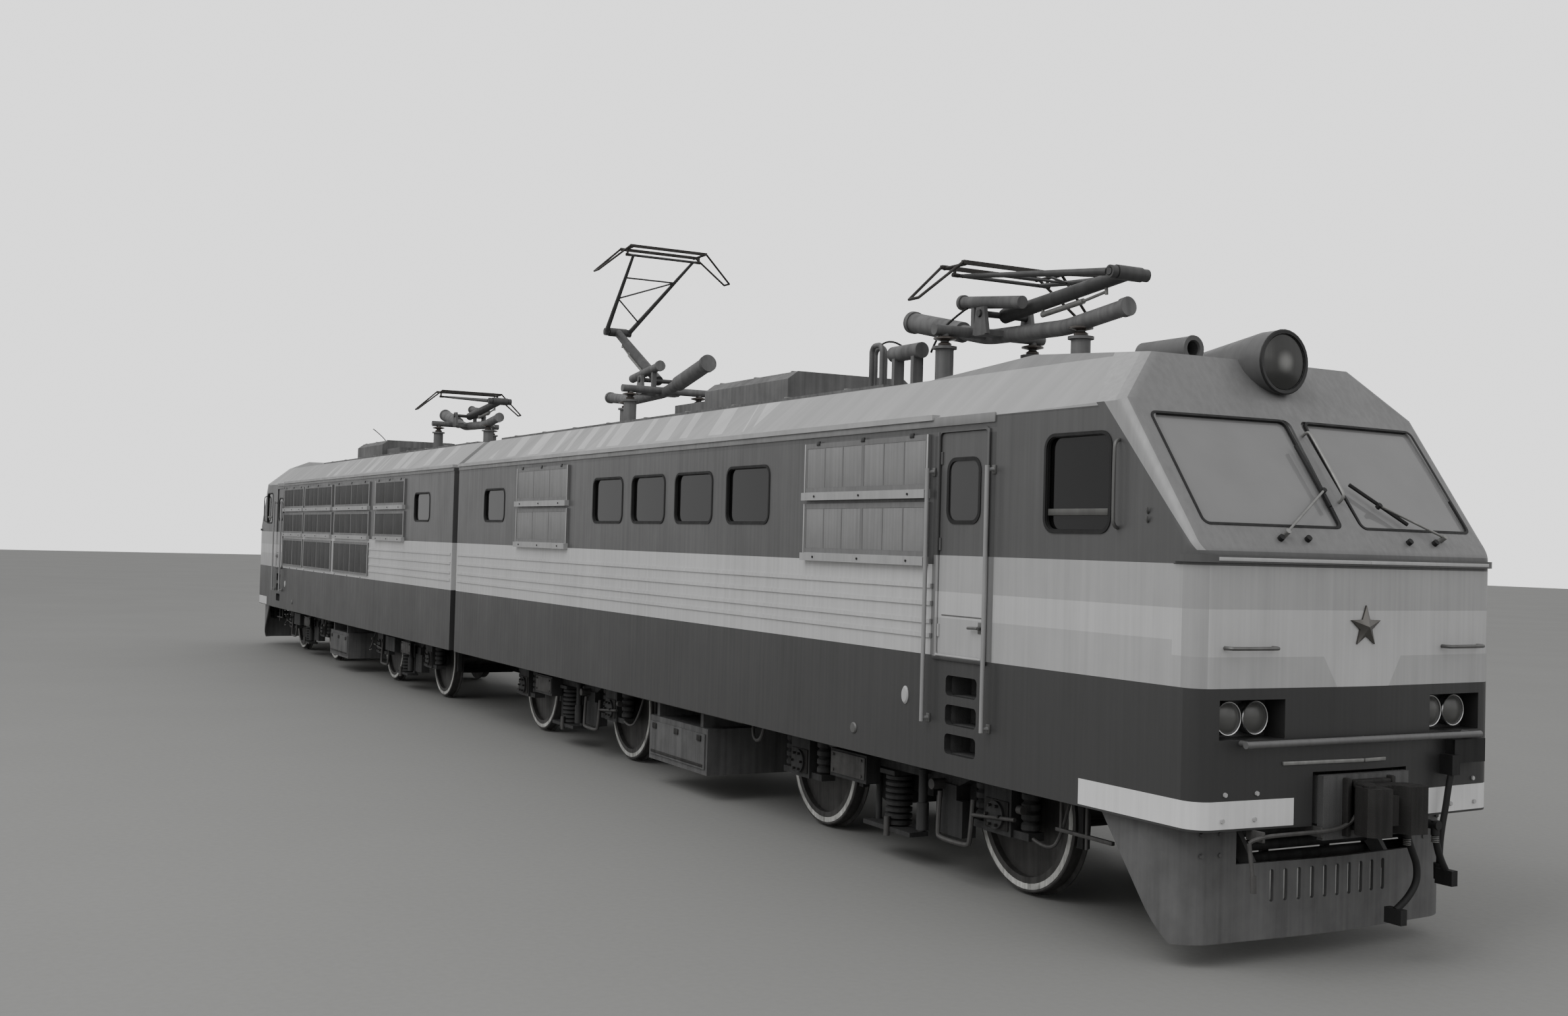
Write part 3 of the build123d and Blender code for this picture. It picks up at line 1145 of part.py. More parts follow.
def running_gear():
    """Axleboxes with their springs, the body springs, dampers and brake hangers, drawn at the origin."""
    pieces = []
    for side in (-1, 1):
        for axle_x in (-WHEELBASE / 2, WHEELBASE / 2):
            y0, y1 = side_range(side, AXLEBOX_IN, AXLEBOX_OUT)
            mid = WHEEL_D / 2
            low = mid - AXLEBOX_H / 2
            box = block(axle_x - AXLEBOX_W / 2, axle_x + AXLEBOX_W / 2, y0, y1, low, SIDE_BEAM_LOW)
            wings = block(axle_x - COIL_X - COIL_R, axle_x + COIL_X + COIL_R, *side_range(side, *COIL_SEAT),
                          low, low + COIL_SEAT_T)
            cap = rod((axle_x, side * AXLEBOX_OUT, mid), (axle_x, side * (AXLEBOX_OUT + AXLEBOX_CAP_T), mid),
                      AXLEBOX_CAP_R)
            bore = rod((axle_x, side * (AXLEBOX_IN - 5), mid), (axle_x, side * (JOURNAL_END + 8), mid),
                       JOURNAL_R + JOURNAL_PLAY)
            pieces.append(fused([box, wings, cap]) - bore)
            for dx in (-COIL_X, COIL_X):
                pieces.append(coil_spring(axle_x + dx, side * sum(COIL_SEAT) / 2, COIL_R, low + COIL_SEAT_T,
                                          SIDE_BEAM_LOW, COIL_TURNS))
        low, high = SPRING_H
        cradle = [coil_spring(0, side * SPRING_Y, SPRING_R, low, high, SPRING_COILS)]
        reach = side_range(side, SIDE_BEAM_IN, SPRING_Y + SPRING_R + 10)
        cradle.append(block(-SPRING_PAN_HALF, SPRING_PAN_HALF, *reach, low - SPRING_PAN_T, low))
        cradle.append(block(-SPRING_R, SPRING_R, *reach, high, high + SPRING_PAN_T))
        for x in (-SPRING_PAN_HALF + LINK_R + 10, SPRING_PAN_HALF - LINK_R - 10):
            y = side * (SIDE_BEAM_IN + 50)
            cradle.append(rod((x, y, low - SPRING_PAN_T), (x, y, SIDE_BELLY_LOW), LINK_R))
        pieces.append(fused(cradle))
        x, y = DAMPER_X, side * (SIDE_BEAM_OUT + DAMPER_R[1] + 10)
        low, middle, high = DAMPER_H
        damper = [rod((x, y, low), (x, y, middle), DAMPER_R[1]), rod((x, y, middle), (x, y, high), DAMPER_R[0]),
                  rod((x, side * SIDE_BEAM_OUT, high - 10), (x, y, high - 10), DAMPER_R[0] * 0.8)]
        pieces.append(fused(damper))
    return pieces


def build_section():
    """The nodes that both sections have alike, drawn facing +X."""
    nodes = dict(shell_pieces())
    nodes["glazing"] = glazing()
    nodes["filter_grilles"] = grilles()
    nodes["door_right"] = door(-1)
    nodes["door_left"] = door(1)
    nodes["brake_hoses"] = brake_hoses()
    nodes["interior"] = interior()
    nodes["lamps"] = lamps()
    nodes["coupler"] = coupler()
    nodes["plough"] = plough()
    nodes["handrails"] = handrails()
    nodes["gangway"] = gangway()
    return nodes


def main():
    os.makedirs("parts", exist_ok=True)
    turned = Rot(0, 0, 180)
    made = {}
    sections = (("front", ("first", "second")), ("rear", ("third",)))
    shared = build_section()
    for name, spots in sections:
        nodes = dict(shared)
        nodes["roof_gear"] = roof_gear(spots)
        nodes["underframe"] = underframe("eye" if name == "front" else "fork")
        for part, shape in nodes.items():
            made[f"{name}_{part}"] = shape if name == "front" else turned * shape
    frame = bogie_frame()
    gear = running_gear()
    wheels = Pos(0, 0, up(WHEEL_D / 2)) * wheelset()
    spots = [("front", 1, c) for c in reversed(BOGIE_CENTRES)] + [("rear", -1, c) for c in BOGIE_CENTRES]
    for number, (_, sign, centre) in enumerate(spots, start=1):
        place = Pos(sign * centre, 0, 0)
        made[f"bogie_{number}_frame"] = place * frame
        made[f"bogie_{number}_axleboxes_springs"] = bundle([place * piece for piece in gear])
        for letter, dx in (("a", WHEELBASE / 2), ("b", -WHEELBASE / 2)):
            made[f"wheelset_{number}{letter}"] = Pos(sign * centre + dx, 0, 0) * wheels
    for spot in PANTOGRAPHS:
        for part, shape in panto_arms(spot).items():
            made[f"{spot}_pantograph_{part}"] = shape
    for node, shape in made.items():
        export_step(shape, f"parts/{node}.step")


main()
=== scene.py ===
"""Looks of a two-section electric locomotive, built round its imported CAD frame. Lengths are in metres."""

import math

import bmesh
import bpy
from mathutils import Matrix, Vector


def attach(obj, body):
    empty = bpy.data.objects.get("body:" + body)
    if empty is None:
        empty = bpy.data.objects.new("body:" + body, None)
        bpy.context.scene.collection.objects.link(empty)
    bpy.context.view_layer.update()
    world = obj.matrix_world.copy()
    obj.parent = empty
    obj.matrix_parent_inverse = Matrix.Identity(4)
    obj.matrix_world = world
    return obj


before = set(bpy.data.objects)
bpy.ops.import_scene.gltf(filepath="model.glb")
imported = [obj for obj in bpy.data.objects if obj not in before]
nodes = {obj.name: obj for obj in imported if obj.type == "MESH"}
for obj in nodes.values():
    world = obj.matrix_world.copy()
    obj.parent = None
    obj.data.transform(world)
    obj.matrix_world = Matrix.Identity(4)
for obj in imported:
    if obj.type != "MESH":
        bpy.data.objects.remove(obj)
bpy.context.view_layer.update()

# Heights are counted from the rail's top, which lies this far over the floor.
RAIL = 0.028
# Each section's half turn, and the way out to each side.
SECTIONS = {"front": 0.0, "rear": math.pi}
SIDES = {"right": -1, "left": 1}
BODY_HALF = 1.475
TAPER_X = 13.95
CAB_TAPER = 0.02067
NOSE_X = 16.211
NOSE_V = 0.059
NOSE_RAKE = 0.72
RAKE_H = 2.75
HEADLAMP_H = 4.14
GRILLE_FRAME = 0.045
GRILLE_BAR = 0.014
GRILLE_ROWS = ((3.19, 3.64), (2.64, 3.09), (1.91, 2.52))
AXLE_H = 0.625
AXLE_OUT = 1.6
AXLES = {"1a": 13.6, "1b": 10.4, "2a": 5.6, "2b": 2.4, "3a": -2.4, "3b": -5.6, "4a": -10.4, "4b": -13.6}
BOGIES = {"bogie_1": 12.0, "bogie_2": 4.0, "bogie_3": -4.0, "bogie_4": -12.0}


def at(x, y, height):
    return Vector((x, y, height + RAIL))


# ---- materials


def linear(code):
    """An sRGB hex colour as the linear values that Blender works in."""
    channels = [int(code[i:i + 2], 16) / 255 for i in (1, 3, 5)]
    return tuple(c / 12.92 if c <= 0.04045 else ((c + 0.055) / 1.055) ** 2.4 for c in channels) + (1.0,)


def node(tree, kind, settings=None, links=None):
    """Adds a shader node, sets its attributes or its inputs' values, and links sockets to its inputs."""
    made = tree.nodes.new("ShaderNode" + kind)
    for name, value in (settings or {}).items():
        if isinstance(name, str) and hasattr(made, name):
            setattr(made, name, value)
        else:
            made.inputs[name].default_value = value
    for name, socket in (links or {}).items():
        tree.links.new(socket, made.inputs[name])
    return made


def blank_material(name):
    """A new material with its node tree, its shader and the object's own coordinates."""
    material = bpy.data.materials.new(name)
    material.use_nodes = True
    tree = material.node_tree
    tree.nodes.clear()
    shader = node(tree, "BsdfPrincipled")
    node(tree, "OutputMaterial", None, {"Surface": shader.outputs["BSDF"]})
    coords = node(tree, "TexCoord").outputs["Object"]
    return material, tree, shader, coords


def distances(tree, coords):
    """How far a point lies from the middle, along and across the locomotive, and how high over the floor."""
    split = node(tree, "SeparateXYZ", None, {"Vector": coords})
    along, across = (node(tree, "Math", {"operation": "ABSOLUTE"}, {0: split.outputs[axis]}).outputs[0]
                     for axis in "XY")
    return along, across, split.outputs["Z"]


def grime(tree, coords, streak_mm, patch_mm):
    """A 0 to 1 field of vertical rain streaks and soft patches, sized in millimetres."""
    across = 1000 / streak_mm
    down = node(tree, "Mapping", {"Scale": (across, across, 0.7)}, {"Vector": coords})
    streaks = node(tree, "TexNoise", {"Scale": 1.0, "Detail": 3.0, "Roughness": 0.55},
                   {"Vector": down.outputs["Vector"]})
    patches = node(tree, "TexNoise", {"Scale": 1000 / patch_mm, "Detail": 5.0, "Roughness": 0.6},
                   {"Vector": coords})
    mixed = node(tree, "Mix", {"data_type": "FLOAT", 0: 0.5},
                 {2: streaks.outputs["Fac"], 3: patches.outputs["Fac"]})
    return mixed.outputs[0]


def shade(tree, shader, colour, field, dark, light, rough, bump=0.02, fine=None):
    """Darkens and lightens a colour by a grime field, and varies its gloss and bump with it."""
    spread = node(tree, "MapRange", {"From Min": 0.32, "From Max": 0.68, "To Min": dark, "To Max": light},
                  {"Value": field})
    tinted = node(tree, "VectorMath", {"operation": "SCALE"}, {0: colour, "Scale": spread.outputs["Result"]})
    tree.links.new(tinted.outputs["Vector"], shader.inputs["Base Color"])
    gloss = node(tree, "MapRange", {"From Min": 0.3, "From Max": 0.7, "To Min": rough[1], "To Max": rough[0]},
                 {"Value": field})
    tree.links.new(gloss.outputs["Result"], shader.inputs["Roughness"])
    height = node(tree, "Bump", {"Strength": bump * 10, "Distance": 0.004}, {"Height": fine or field})
    tree.links.new(height.outputs["Normal"], shader.inputs["Normal"])


def plain_finish(name, code, dark=0.75, light=1.12, rough=(0.35, 0.6), metallic=0.0, streak_mm=60,
                 patch_mm=450, bump=0.02, coat=0.0, grain_mm=None):
    """One colour with dirt; grain_mm adds a cast or sprayed grain of that size."""
    material, tree, shader, coords = blank_material(name)
    shader.inputs["Metallic"].default_value = metallic
    shader.inputs["Coat Weight"].default_value = coat
    colour = node(tree, "RGB")
    colour.outputs[0].default_value = linear(code)
    fine = None
    if grain_mm:
        grain = node(tree, "TexNoise", {"Scale": 1000 / grain_mm, "Detail": 2.0}, {"Vector": coords})
        fine = grain.outputs["Fac"]
    field = grime(tree, coords, streak_mm, patch_mm)
    shade(tree, shader, colour.outputs[0], field, dark, light, rough, bump, fine)
    return material


def zone(tree, *limits):
    """1 where every limit holds, else 0. A limit is a socket, the side that counts, and a value."""
    mask = None
    for socket, side, value in limits:
        operation = {">": "GREATER_THAN", "<": "LESS_THAN"}[side]
        holds = node(tree, "Math", {"operation": operation, 1: value}, {0: socket}).outputs[0]
        if mask is not None:
            holds = node(tree, "Math", {"operation": "MULTIPLY"}, {0: mask, 1: holds}).outputs[0]
        mask = holds
    return mask


def paint(tree, ground, coat, *limits, share=1.0):
    """Lays a share of a coat over the ground where every limit holds; each is a hex code or a socket."""
    mask = zone(tree, *limits)
    if share < 1:
        mask = node(tree, "Math", {"operation": "MULTIPLY", 1: share}, {0: mask}).outputs[0]
    mix = node(tree, "Mix", {"data_type": "RGBA"}, {0: mask})
    for index, value in ((6, ground), (7, coat)):
        if isinstance(value, str):
            mix.inputs[index].default_value = linear(value)
        else:
            tree.links.new(value, mix.inputs[index])
    return mix.outputs[2]


# Greys of the paint: the dark fields, the light band with its two greyer parts, and the cab's own tones. The
# greys of the nose's cap and corners, of the grooves and of the line under the gutter are painted shade.
LOWER = "#383838"
UPPER = "#4e4e4e"
BAND = "#bababa"
BAND_TOP = "#a2a2a2"
BAND_LOW = "#a9a9a9"
STRIPE = "#dadada"
ROOF_SIDE = "#a0a0a0"
NOSE_CAP_SHADE = "#6e6e6e"
NOSE_EDGE = "#929292"
NOSE_CORNER_SHADE = "#8c8c8c"
NOSE_LOWER = "#2f2f2f"
GROOVE_SHADE_UPPER = "#3d3d3d"
GROOVE_SHADE_BAND = "#767676"
GUTTER_SHADOW = "#454545"
CAB_GUTTER = "#434343"

# Edges of the painted fields: heights over the floor, and places along the body.
BAND_FOOT = 1.855 + RAIL
BAND_LOW_TOP = 2.16 + RAIL
BAND_SPLIT = 2.37 + RAIL
SIDE_UPPER_H = 2.585 + RAIL
NOSE_UPPER_H = 2.655 + RAIL
RAKE_FOOT = 2.752 + RAIL
GUTTER_SHADOW_H = 3.655 + RAIL
CAB_GUTTER_H = 3.735 + RAIL
ROOF_FOOT = 3.775 + RAIL
STRIPE_H = (0.945 + RAIL, 1.125 + RAIL)
STRIPE_X, STRIPE_Y = 14.98, 0.61
CAB_BAND_X = 13.13
CAB_BAND_LIFT = 0.075
# Where the grooves beside the door are drawn as painted shade: along the body, and over the floor.
RAIL_GROOVE_SHADES = ((13.108, 13.185), (13.868, 13.945))
GROOVE_SHADE_H = (1.30 + RAIL, 3.62 + RAIL)
# Where the nose's dark foot begins, and the painted shade on its rounded corners.
NOSE_LOWER_X = 15.99
CORNER_SHADE_X, CORNER_SHADE_Y = 15.967, 1.345
# How far behind the plane of the raked front its cap ends and the roof's side begins.
CAP_DEPTH, ROOF_SIDE_DEPTH = 0.022, 0.115
# The slanting edges on the nose: how steeply each runs, and a place that it passes.
VEE_SLANT, VEE_Y, VEE_H = 0.6, 0.31, 1.957 + RAIL
VEE_TOP = 2.06 + RAIL
PILLAR_SLANT, PILLAR_X = 0.885, 18.503


def body_enamel(name, nose=False):
    """Alkyd enamel on pressed steel: satin, dulled by dust, with faint vertical rain streaks. The colours lie
    in level bands, and the white edge stripe runs round the skirt's foot at the cab. Painted shade darkens
    the grooves beside the doors, a line under the gutter, the nose's rounded corners and its raked cap."""
    material, tree, shader, coords = blank_material(name)
    shader.inputs["Coat Weight"].default_value = 0.22
    shader.inputs["Coat Roughness"].default_value = 0.22
    along, across, height = distances(tree, coords)
    over_foot = (height, ">", BAND_FOOT)
    at_cab = (along, ">", CAB_BAND_X)
    colour = paint(tree, LOWER, BAND, over_foot)
    colour = paint(tree, colour, BAND_TOP, (height, ">", BAND_SPLIT), at_cab)
    stripe = [(height, ">", STRIPE_H[0]), (height, "<", STRIPE_H[1]), (along, ">", STRIPE_X)]
    if nose:
        fall = node(tree, "Math", {"operation": "MULTIPLY_ADD", 1: -VEE_SLANT}, {0: height, 2: across})
        vee = (fall.outputs[0], ">", VEE_Y - VEE_SLANT * VEE_H)
        colour = paint(tree, colour, BAND_LOW, over_foot, (height, "<", VEE_TOP), vee)
        # The dark belt under the windscreens, the pale edge ahead of a slanting line up each side, and the
        # cap, which is the raked front itself and the small roof over it: the roof's grey, darkened as
        # painted shade because it faces away from the light.
        colour = paint(tree, colour, UPPER, (height, ">", NOSE_UPPER_H))
        over_rake_foot = (height, ">", RAKE_FOOT)
        slant = node(tree, "Math", {"operation": "MULTIPLY_ADD", 1: PILLAR_SLANT}, {0: height, 2: along})
        pillar = (slant.outputs[0], ">", PILLAR_X + PILLAR_SLANT * RAIL)
        colour = paint(tree, colour, NOSE_EDGE, pillar, over_rake_foot)
        lean = node(tree, "Math", {"operation": "MULTIPLY_ADD", 1: NOSE_V}, {0: across, 2: along}).outputs[0]
        rise = node(tree, "Math", {"operation": "MULTIPLY_ADD", 1: NOSE_RAKE}, {0: height, 2: lean})
        rise = rise.outputs[0]
        face = NOSE_X + NOSE_RAKE * (RAKE_H + RAIL)
        colour = paint(tree, colour, ROOF_SIDE, (height, ">", ROOF_FOOT), (rise, "<", face - ROOF_SIDE_DEPTH))
        colour = paint(tree, colour, NOSE_CAP_SHADE, (rise, ">", face - CAP_DEPTH), over_rake_foot)
        # Painted shade on the rounding of the nose's corners, over the light band.
        colour = paint(tree, colour, NOSE_CORNER_SHADE, (height, "<", NOSE_UPPER_H), over_foot,
                       (across, ">", CORNER_SHADE_Y), (along, ">", CORNER_SHADE_X), share=0.6)
        colour = paint(tree, colour, NOSE_LOWER, (height, "<", BAND_FOOT), (along, ">", NOSE_LOWER_X))
        stripe.append((across, ">", STRIPE_Y))
    else:
        colour = paint(tree, colour, BAND_LOW, over_foot, (height, "<", BAND_LOW_TOP), at_cab)
        lift = node(tree, "Math", {"operation": "MULTIPLY", 1: CAB_BAND_LIFT}, {0: zone(tree, at_cab)})
        level = node(tree, "Math", {"operation": "SUBTRACT"}, {0: height, 1: lift.outputs[0]}).outputs[0]
        colour = paint(tree, colour, UPPER, (level, ">", SIDE_UPPER_H))
        # The hand rails stand in grooves beside the door, which are drawn only as painted shade, and a
        # painted shadow lies under the gutter.
        for start, end in RAIL_GROOVE_SHADES:
            groove = ((along, ">", start), (along, "<", end), (height, ">", GROOVE_SHADE_H[0]),
                      (height, "<", GROOVE_SHADE_H[1]))
            colour = paint(tree, colour, GROOVE_SHADE_UPPER, *groove, (level, ">", SIDE_UPPER_H))
            colour = paint(tree, colour, GROOVE_SHADE_BAND, *groove, (level, "<", SIDE_UPPER_H), over_foot)
        # Painted shadow on the side wall under the gutter.
        colour = paint(tree, colour, GUTTER_SHADOW, (height, ">", GUTTER_SHADOW_H), (along, "<", TAPER_X))
        colour = paint(tree, colour, CAB_GUTTER, (height, ">", CAB_GUTTER_H), (along, ">", TAPER_X))
    colour = paint(tree, colour, STRIPE, *stripe)
    shade(tree, shader, colour, grime(tree, coords, 45, 900), 0.86, 1.1, (0.36, 0.58), 0.01)
    return material


# Along the body, the washed stretches of the roof begin and end here, and they lie over this height.
WASHED_X = (1.2, 9.6)
WASHED_H = 3.84 + RAIL
ROOF_TOP_H = 4.165 + RAIL


def roof_enamel(name):
    """Light grey enamel on the roof: dull, with wide rain streaks running down the slopes, and paler
    stretches that the rain has washed."""
    material, tree, shader, coords = blank_material(name)
    split = node(tree, "SeparateXYZ", None, {"Vector": coords})
    along, _, height = distances(tree, coords)
    wash = node(tree, "Mapping", {"Scale": (2.2, 0.25, 0.25)}, {"Vector": coords})
    streaks = node(tree, "TexNoise", {"Scale": 1.0, "Detail": 4.0, "Roughness": 0.7},
                   {"Vector": wash.outputs["Vector"]})
    lean = node(tree, "Math", {"operation": "MULTIPLY_ADD", 1: 1.1}, {0: height, 2: split.outputs["X"]})
    swept = node(tree, "TexNoise", {"noise_dimensions": "1D", "Scale": 2.1, "Detail": 1.0, "Roughness": 0.4},
                 {"W": lean.outputs[0]})
    colour = paint(tree, ROOF_SIDE, "#bcbcbc", (swept.outputs["Fac"], ">", 0.53), (along, ">", WASHED_X[0]),
                   (along, "<", WASHED_X[1]), (height, ">", WASHED_H))
    colour = paint(tree, colour, "#7d7d7d", (height, ">", ROOF_TOP_H))
    shade(tree, shader, colour, streaks.outputs["Fac"], 0.88, 1.10, (0.4, 0.62), 0.01)
    return material


# The bar on the front and the windscreens lie ahead of these.
FRONT_BAR_X = 15.5
SCREENS_X = 15.35
# The rain ledge of a row of grilles, counted from the row's foot.
LEDGE_FROM, LEDGE_TO = -0.072, 0.004


def rail_enamel(name):
    """Hand rails: pale enamel beside the doors, rubbed by hands, and dull grey on the bar on the front."""
    material, tree, shader, coords = blank_material(name)
    colour = paint(tree, "#8e8e8e", "#646464", (distances(tree, coords)[0], ">", FRONT_BAR_X))
    shade(tree, shader, colour, grime(tree, coords, 40, 300), 0.85, 1.1, (0.3, 0.5))
    return material


def louvre_enamel(name):
    """Enamelled steel filter panels: dusty and dark, with paler rain ledges along each panel's foot."""
    material, tree, shader, coords = blank_material(name)
    height = distances(tree, coords)[2]
    colour = "#6a6a6a"
    for low, _ in GRILLE_ROWS:
        colour = paint(tree, colour, "#9a9a9a", (height, ">", low + LEDGE_FROM + RAIL),
                       (height, "<", low + LEDGE_TO + RAIL))
    shade(tree, shader, colour, grime(tree, coords, 40, 700), 0.85, 1.12, (0.4, 0.6))
    return material


def window_glass(name, code, rough, transmission=0.0, raked=None, mirror=0.5):
    """Float glass with a dusty outer face: IOR 1.5, near smooth. raked is a painted reflection of the sky,
    which colours the windscreens and shuts out their transmission, and mirror is the strength of the glass's
    own reflection."""
    material, tree, shader, coords = blank_material(name)
    shader.inputs["IOR"].default_value = 1.5
    shader.inputs["Specular IOR Level"].default_value = mirror
    shader.inputs["Transmission Weight"].default_value = transmission
    dust = node(tree, "TexNoise", {"Scale": 3.0, "Detail": 4.0}, {"Vector": coords}).outputs["Fac"]
    # On the windscreens the colour is a painted reflection of the sky, and no light passes.
    if raked:
        screens = (distances(tree, coords)[0], ">", SCREENS_X)
        colour = paint(tree, code, raked, screens)
        clear = node(tree, "MapRange", {"To Min": transmission, "To Max": 0.0},
                     {"Value": zone(tree, screens)})
        tree.links.new(clear.outputs["Result"], shader.inputs["Transmission Weight"])
    else:
        flat = node(tree, "RGB")
        flat.outputs[0].default_value = linear(code)
        colour = flat.outputs[0]
    spread = node(tree, "MapRange", {"To Min": 0.9, "To Max": 1.1}, {"Value": dust})
    tinted = node(tree, "VectorMath", {"operation": "SCALE"}, {0: colour, "Scale": spread.outputs["Result"]})
    tree.links.new(tinted.outputs["Vector"], shader.inputs["Base Color"])
    gloss = node(tree, "MapRange", {"To Min": rough, "To Max": rough + 0.08}, {"Value": dust})
    tree.links.new(gloss.outputs["Result"], shader.inputs["Roughness"])
    return material


def lens_glass(name):
    """Moulded lens glass over a polished bowl, pale round the bulb and darker towards the rim: the paleness
    is a painted reflection of the bowl.
    """
    material, tree, shader, coords = blank_material(name)
    shader.inputs["Metallic"].default_value = 0.6
    shader.inputs["IOR"].default_value = 1.5
    split = node(tree, "SeparateXYZ", None, {"Vector": coords})
    level = node(tree, "Math", {"operation": "SUBTRACT", 1: HEADLAMP_H + RAIL}, {0: split.outputs["Z"]})
    flat = node(tree, "CombineXYZ", None, {"Y": split.outputs["Y"], "Z": level.outputs[0]})
    far = node(tree, "VectorMath", {"operation": "LENGTH"}, {0: flat.outputs["Vector"]}).outputs["Value"]
    # Painted reflection of the polished bowl: pale round the bulb, darker towards the rim.
    painted_bowl_reflection = node(tree, "MapRange", {"interpolation_type": "SMOOTHSTEP", "From Min": 0.01, "From Max": 0.10,
                                   "To Min": 1.0, "To Max": 0.0}, {"Value": far}).outputs["Result"]
    colour = node(tree, "Mix", {"data_type": "RGBA", 6: linear("#434342"), 7: linear("#7e7e7c")}, {0: painted_bowl_reflection})
    shade(tree, shader, colour.outputs[2], grime(tree, coords, 40, 160), 0.9, 1.1, (0.12, 0.24))
    return material


side_enamel = body_enamel("side_enamel")
nose_enamel = body_enamel("nose_enamel", nose=True)
roof_grey = roof_enamel("roof_enamel")
# Float glass of the side windows, dark because the room behind is unlit; the laminated windscreens are
# raked and mirror a bright sky, and their pale colour is a painted reflection of that sky.
window_panes = window_glass("float_and_laminated_glass", "#0d0d0d", 0.05, 0.10, raked="#7c7c7c", mirror=0.35)
# EPDM rubber of gaskets, gangway and hoses: black, matt, slightly dusty.
black_rubber = plain_finish("epdm_rubber", "#181818", rough=(0.55, 0.8), grain_mm=3)
louvre_paint = louvre_enamel("louvre_enamel")
# Pleated filter cloth behind wire gauze: matt, dusty, streaked by rain, and sooty in the big grilles.
pale_mat = plain_finish("dusty_filter_cloth", "#7e7e7e", 0.82, 1.15, (0.7, 0.9), streak_mm=35, patch_mm=500,
                        grain_mm=4)
dark_mat = plain_finish("sooty_filter_cloth", "#444444", 0.82, 1.15, (0.7, 0.9), streak_mm=35, patch_mm=500,
                        grain_mm=4)
# Lighter enamelled rain ledges and frames.
ledge_enamel = plain_finish("ledge_enamel", "#b0b0b0", 0.85, 1.06)
# The side's enamel on the gutter, paler with dust.
gutter_enamel = plain_finish("gutter_enamel", "#808080", 0.85, 1.08)
# Road grime over primer on bogies and underframe: rough, patchy, almost black on the bogies.
bogie_grime = plain_finish("bogie_grime", "#2b2b2b", 0.6, 1.5, (0.55, 0.85), grain_mm=6, bump=0.05)
frame_grime = plain_finish("underframe_grime", "#525252", 0.6, 1.4, (0.55, 0.85), grain_mm=8, bump=0.05)
# Cast steel with a rust bloom, rough from the sand mould.
cast_steel = plain_finish("cast_steel", "#2f2e2d", 0.6, 1.5, (0.5, 0.8), 0.4, grain_mm=5, bump=0.08)
# Grey enamel of the plough sheet, splashed with dirt.
plough_enamel = plain_finish("plough_enamel", "#606060", 0.7, 1.15, (0.45, 0.7), patch_mm=250)
rail_paint = rail_enamel("rail_enamel")
# Small steel fittings, dulled by weather.
dull_steel = plain_finish("dull_steel", "#6c6c6b", 0.8, 1.1, (0.4, 0.6), 0.5)
# Sprayed grey enamel of the lamp housings and the horn: smooth, with a soft gloss.
lamp_enamel = plain_finish("lamp_enamel", "#595959", 0.85, 1.1, (0.3, 0.5))
# Roof gear under soot: brushed enamel, dull and speckled.
gear_enamel = plain_finish("roof_gear_enamel", "#5f5f5f", 0.6, 1.3, (0.5, 0.75), grain_mm=6)
# Enamelled steel tube of the pantographs' arms, darkened by copper dust.
arm_enamel = plain_finish("pantograph_enamel", "#434343", 0.75, 1.2, (0.4, 0.6))
# Copper-faced steel of the contact heads, dark where it is oxidised and bright where the wire rubs.
strip_metal = plain_finish("contact_strip", "#3a3836", 0.7, 1.3, (0.35, 0.6), 0.6)
# Rolled steel of wheels and axles, brown-grey with brake dust.
wheel_steel = plain_finish("rolled_wheel_steel", "#4a4948", 0.6, 1.4, (0.4, 0.7), 0.5, grain_mm=6)
# Matt paint of the cab's lining and machine block.
cab_paint = plain_finish("cab_lining_paint", "#6d6d6a", 0.85, 1.1, (0.5, 0.7))
# Toughened door glass, in front of an unlit vestibule.
door_glass = window_glass("door_glass", "#303030", 0.08)
# Bulged lens of the unlit headlamp over its polished bowl: grey, glossy, mirrors sky and ground, with a
# painted reflection of the bowl that is paler round the bulb.
lamp_glass = lens_glass("bulged_lens_glass")
# Marker lamp lens, unlit and dusty, over a dark bowl.
marker_glass = window_glass("unlit_lens_glass", "#5a5a58", 0.25)
# Pressed steel lamp rims with worn chrome plate.
chrome_rim = plain_finish("chrome_plate", "#c8c8c8", 0.8, 1.05, (0.12, 0.3), 1.0)
# Extruded window frames of natural aluminium, dulled by weather.
frame_metal = plain_finish("natural_aluminium", "#6c6c6a", 0.8, 1.1, (0.35, 0.55), 0.8)
# Zinc-dipped pipes, plates and brackets: pale, dull, faintly mottled.
zinc_steel = plain_finish("galvanised_steel", "#8f8f8d", 0.75, 1.12, (0.4, 0.65), 0.6, patch_mm=120)
# The same pipes and plates low on the bogies, under brake dust.
grimy_steel = plain_finish("dusty_steel", "#525150", 0.7, 1.2, (0.5, 0.75), 0.4, patch_mm=120)
# Glazed brown insulator porcelain, with a hard gloss.
porcelain = plain_finish("glazed_porcelain", "#4a4440", 0.85, 1.1, (0.12, 0.3), coat=0.3)
# White lime paint on the tyres' faces, mostly rubbed off by brake dust.
tyre_paint = plain_finish("tyre_paint", "#c4c4c0", 0.25, 1.15, (0.6, 0.85), streak_mm=30, patch_mm=160)
# Cast bronze star, chromed, with flat facets.
star_metal = plain_finish("chromed_bronze", "#686663", 0.85, 1.08, (0.2, 0.35), 0.9)
# Black enamel of clips, lamp shades and handles.
black_enamel = plain_finish("black_enamel", "#1f1f1f", 0.8, 1.2, (0.3, 0.5))

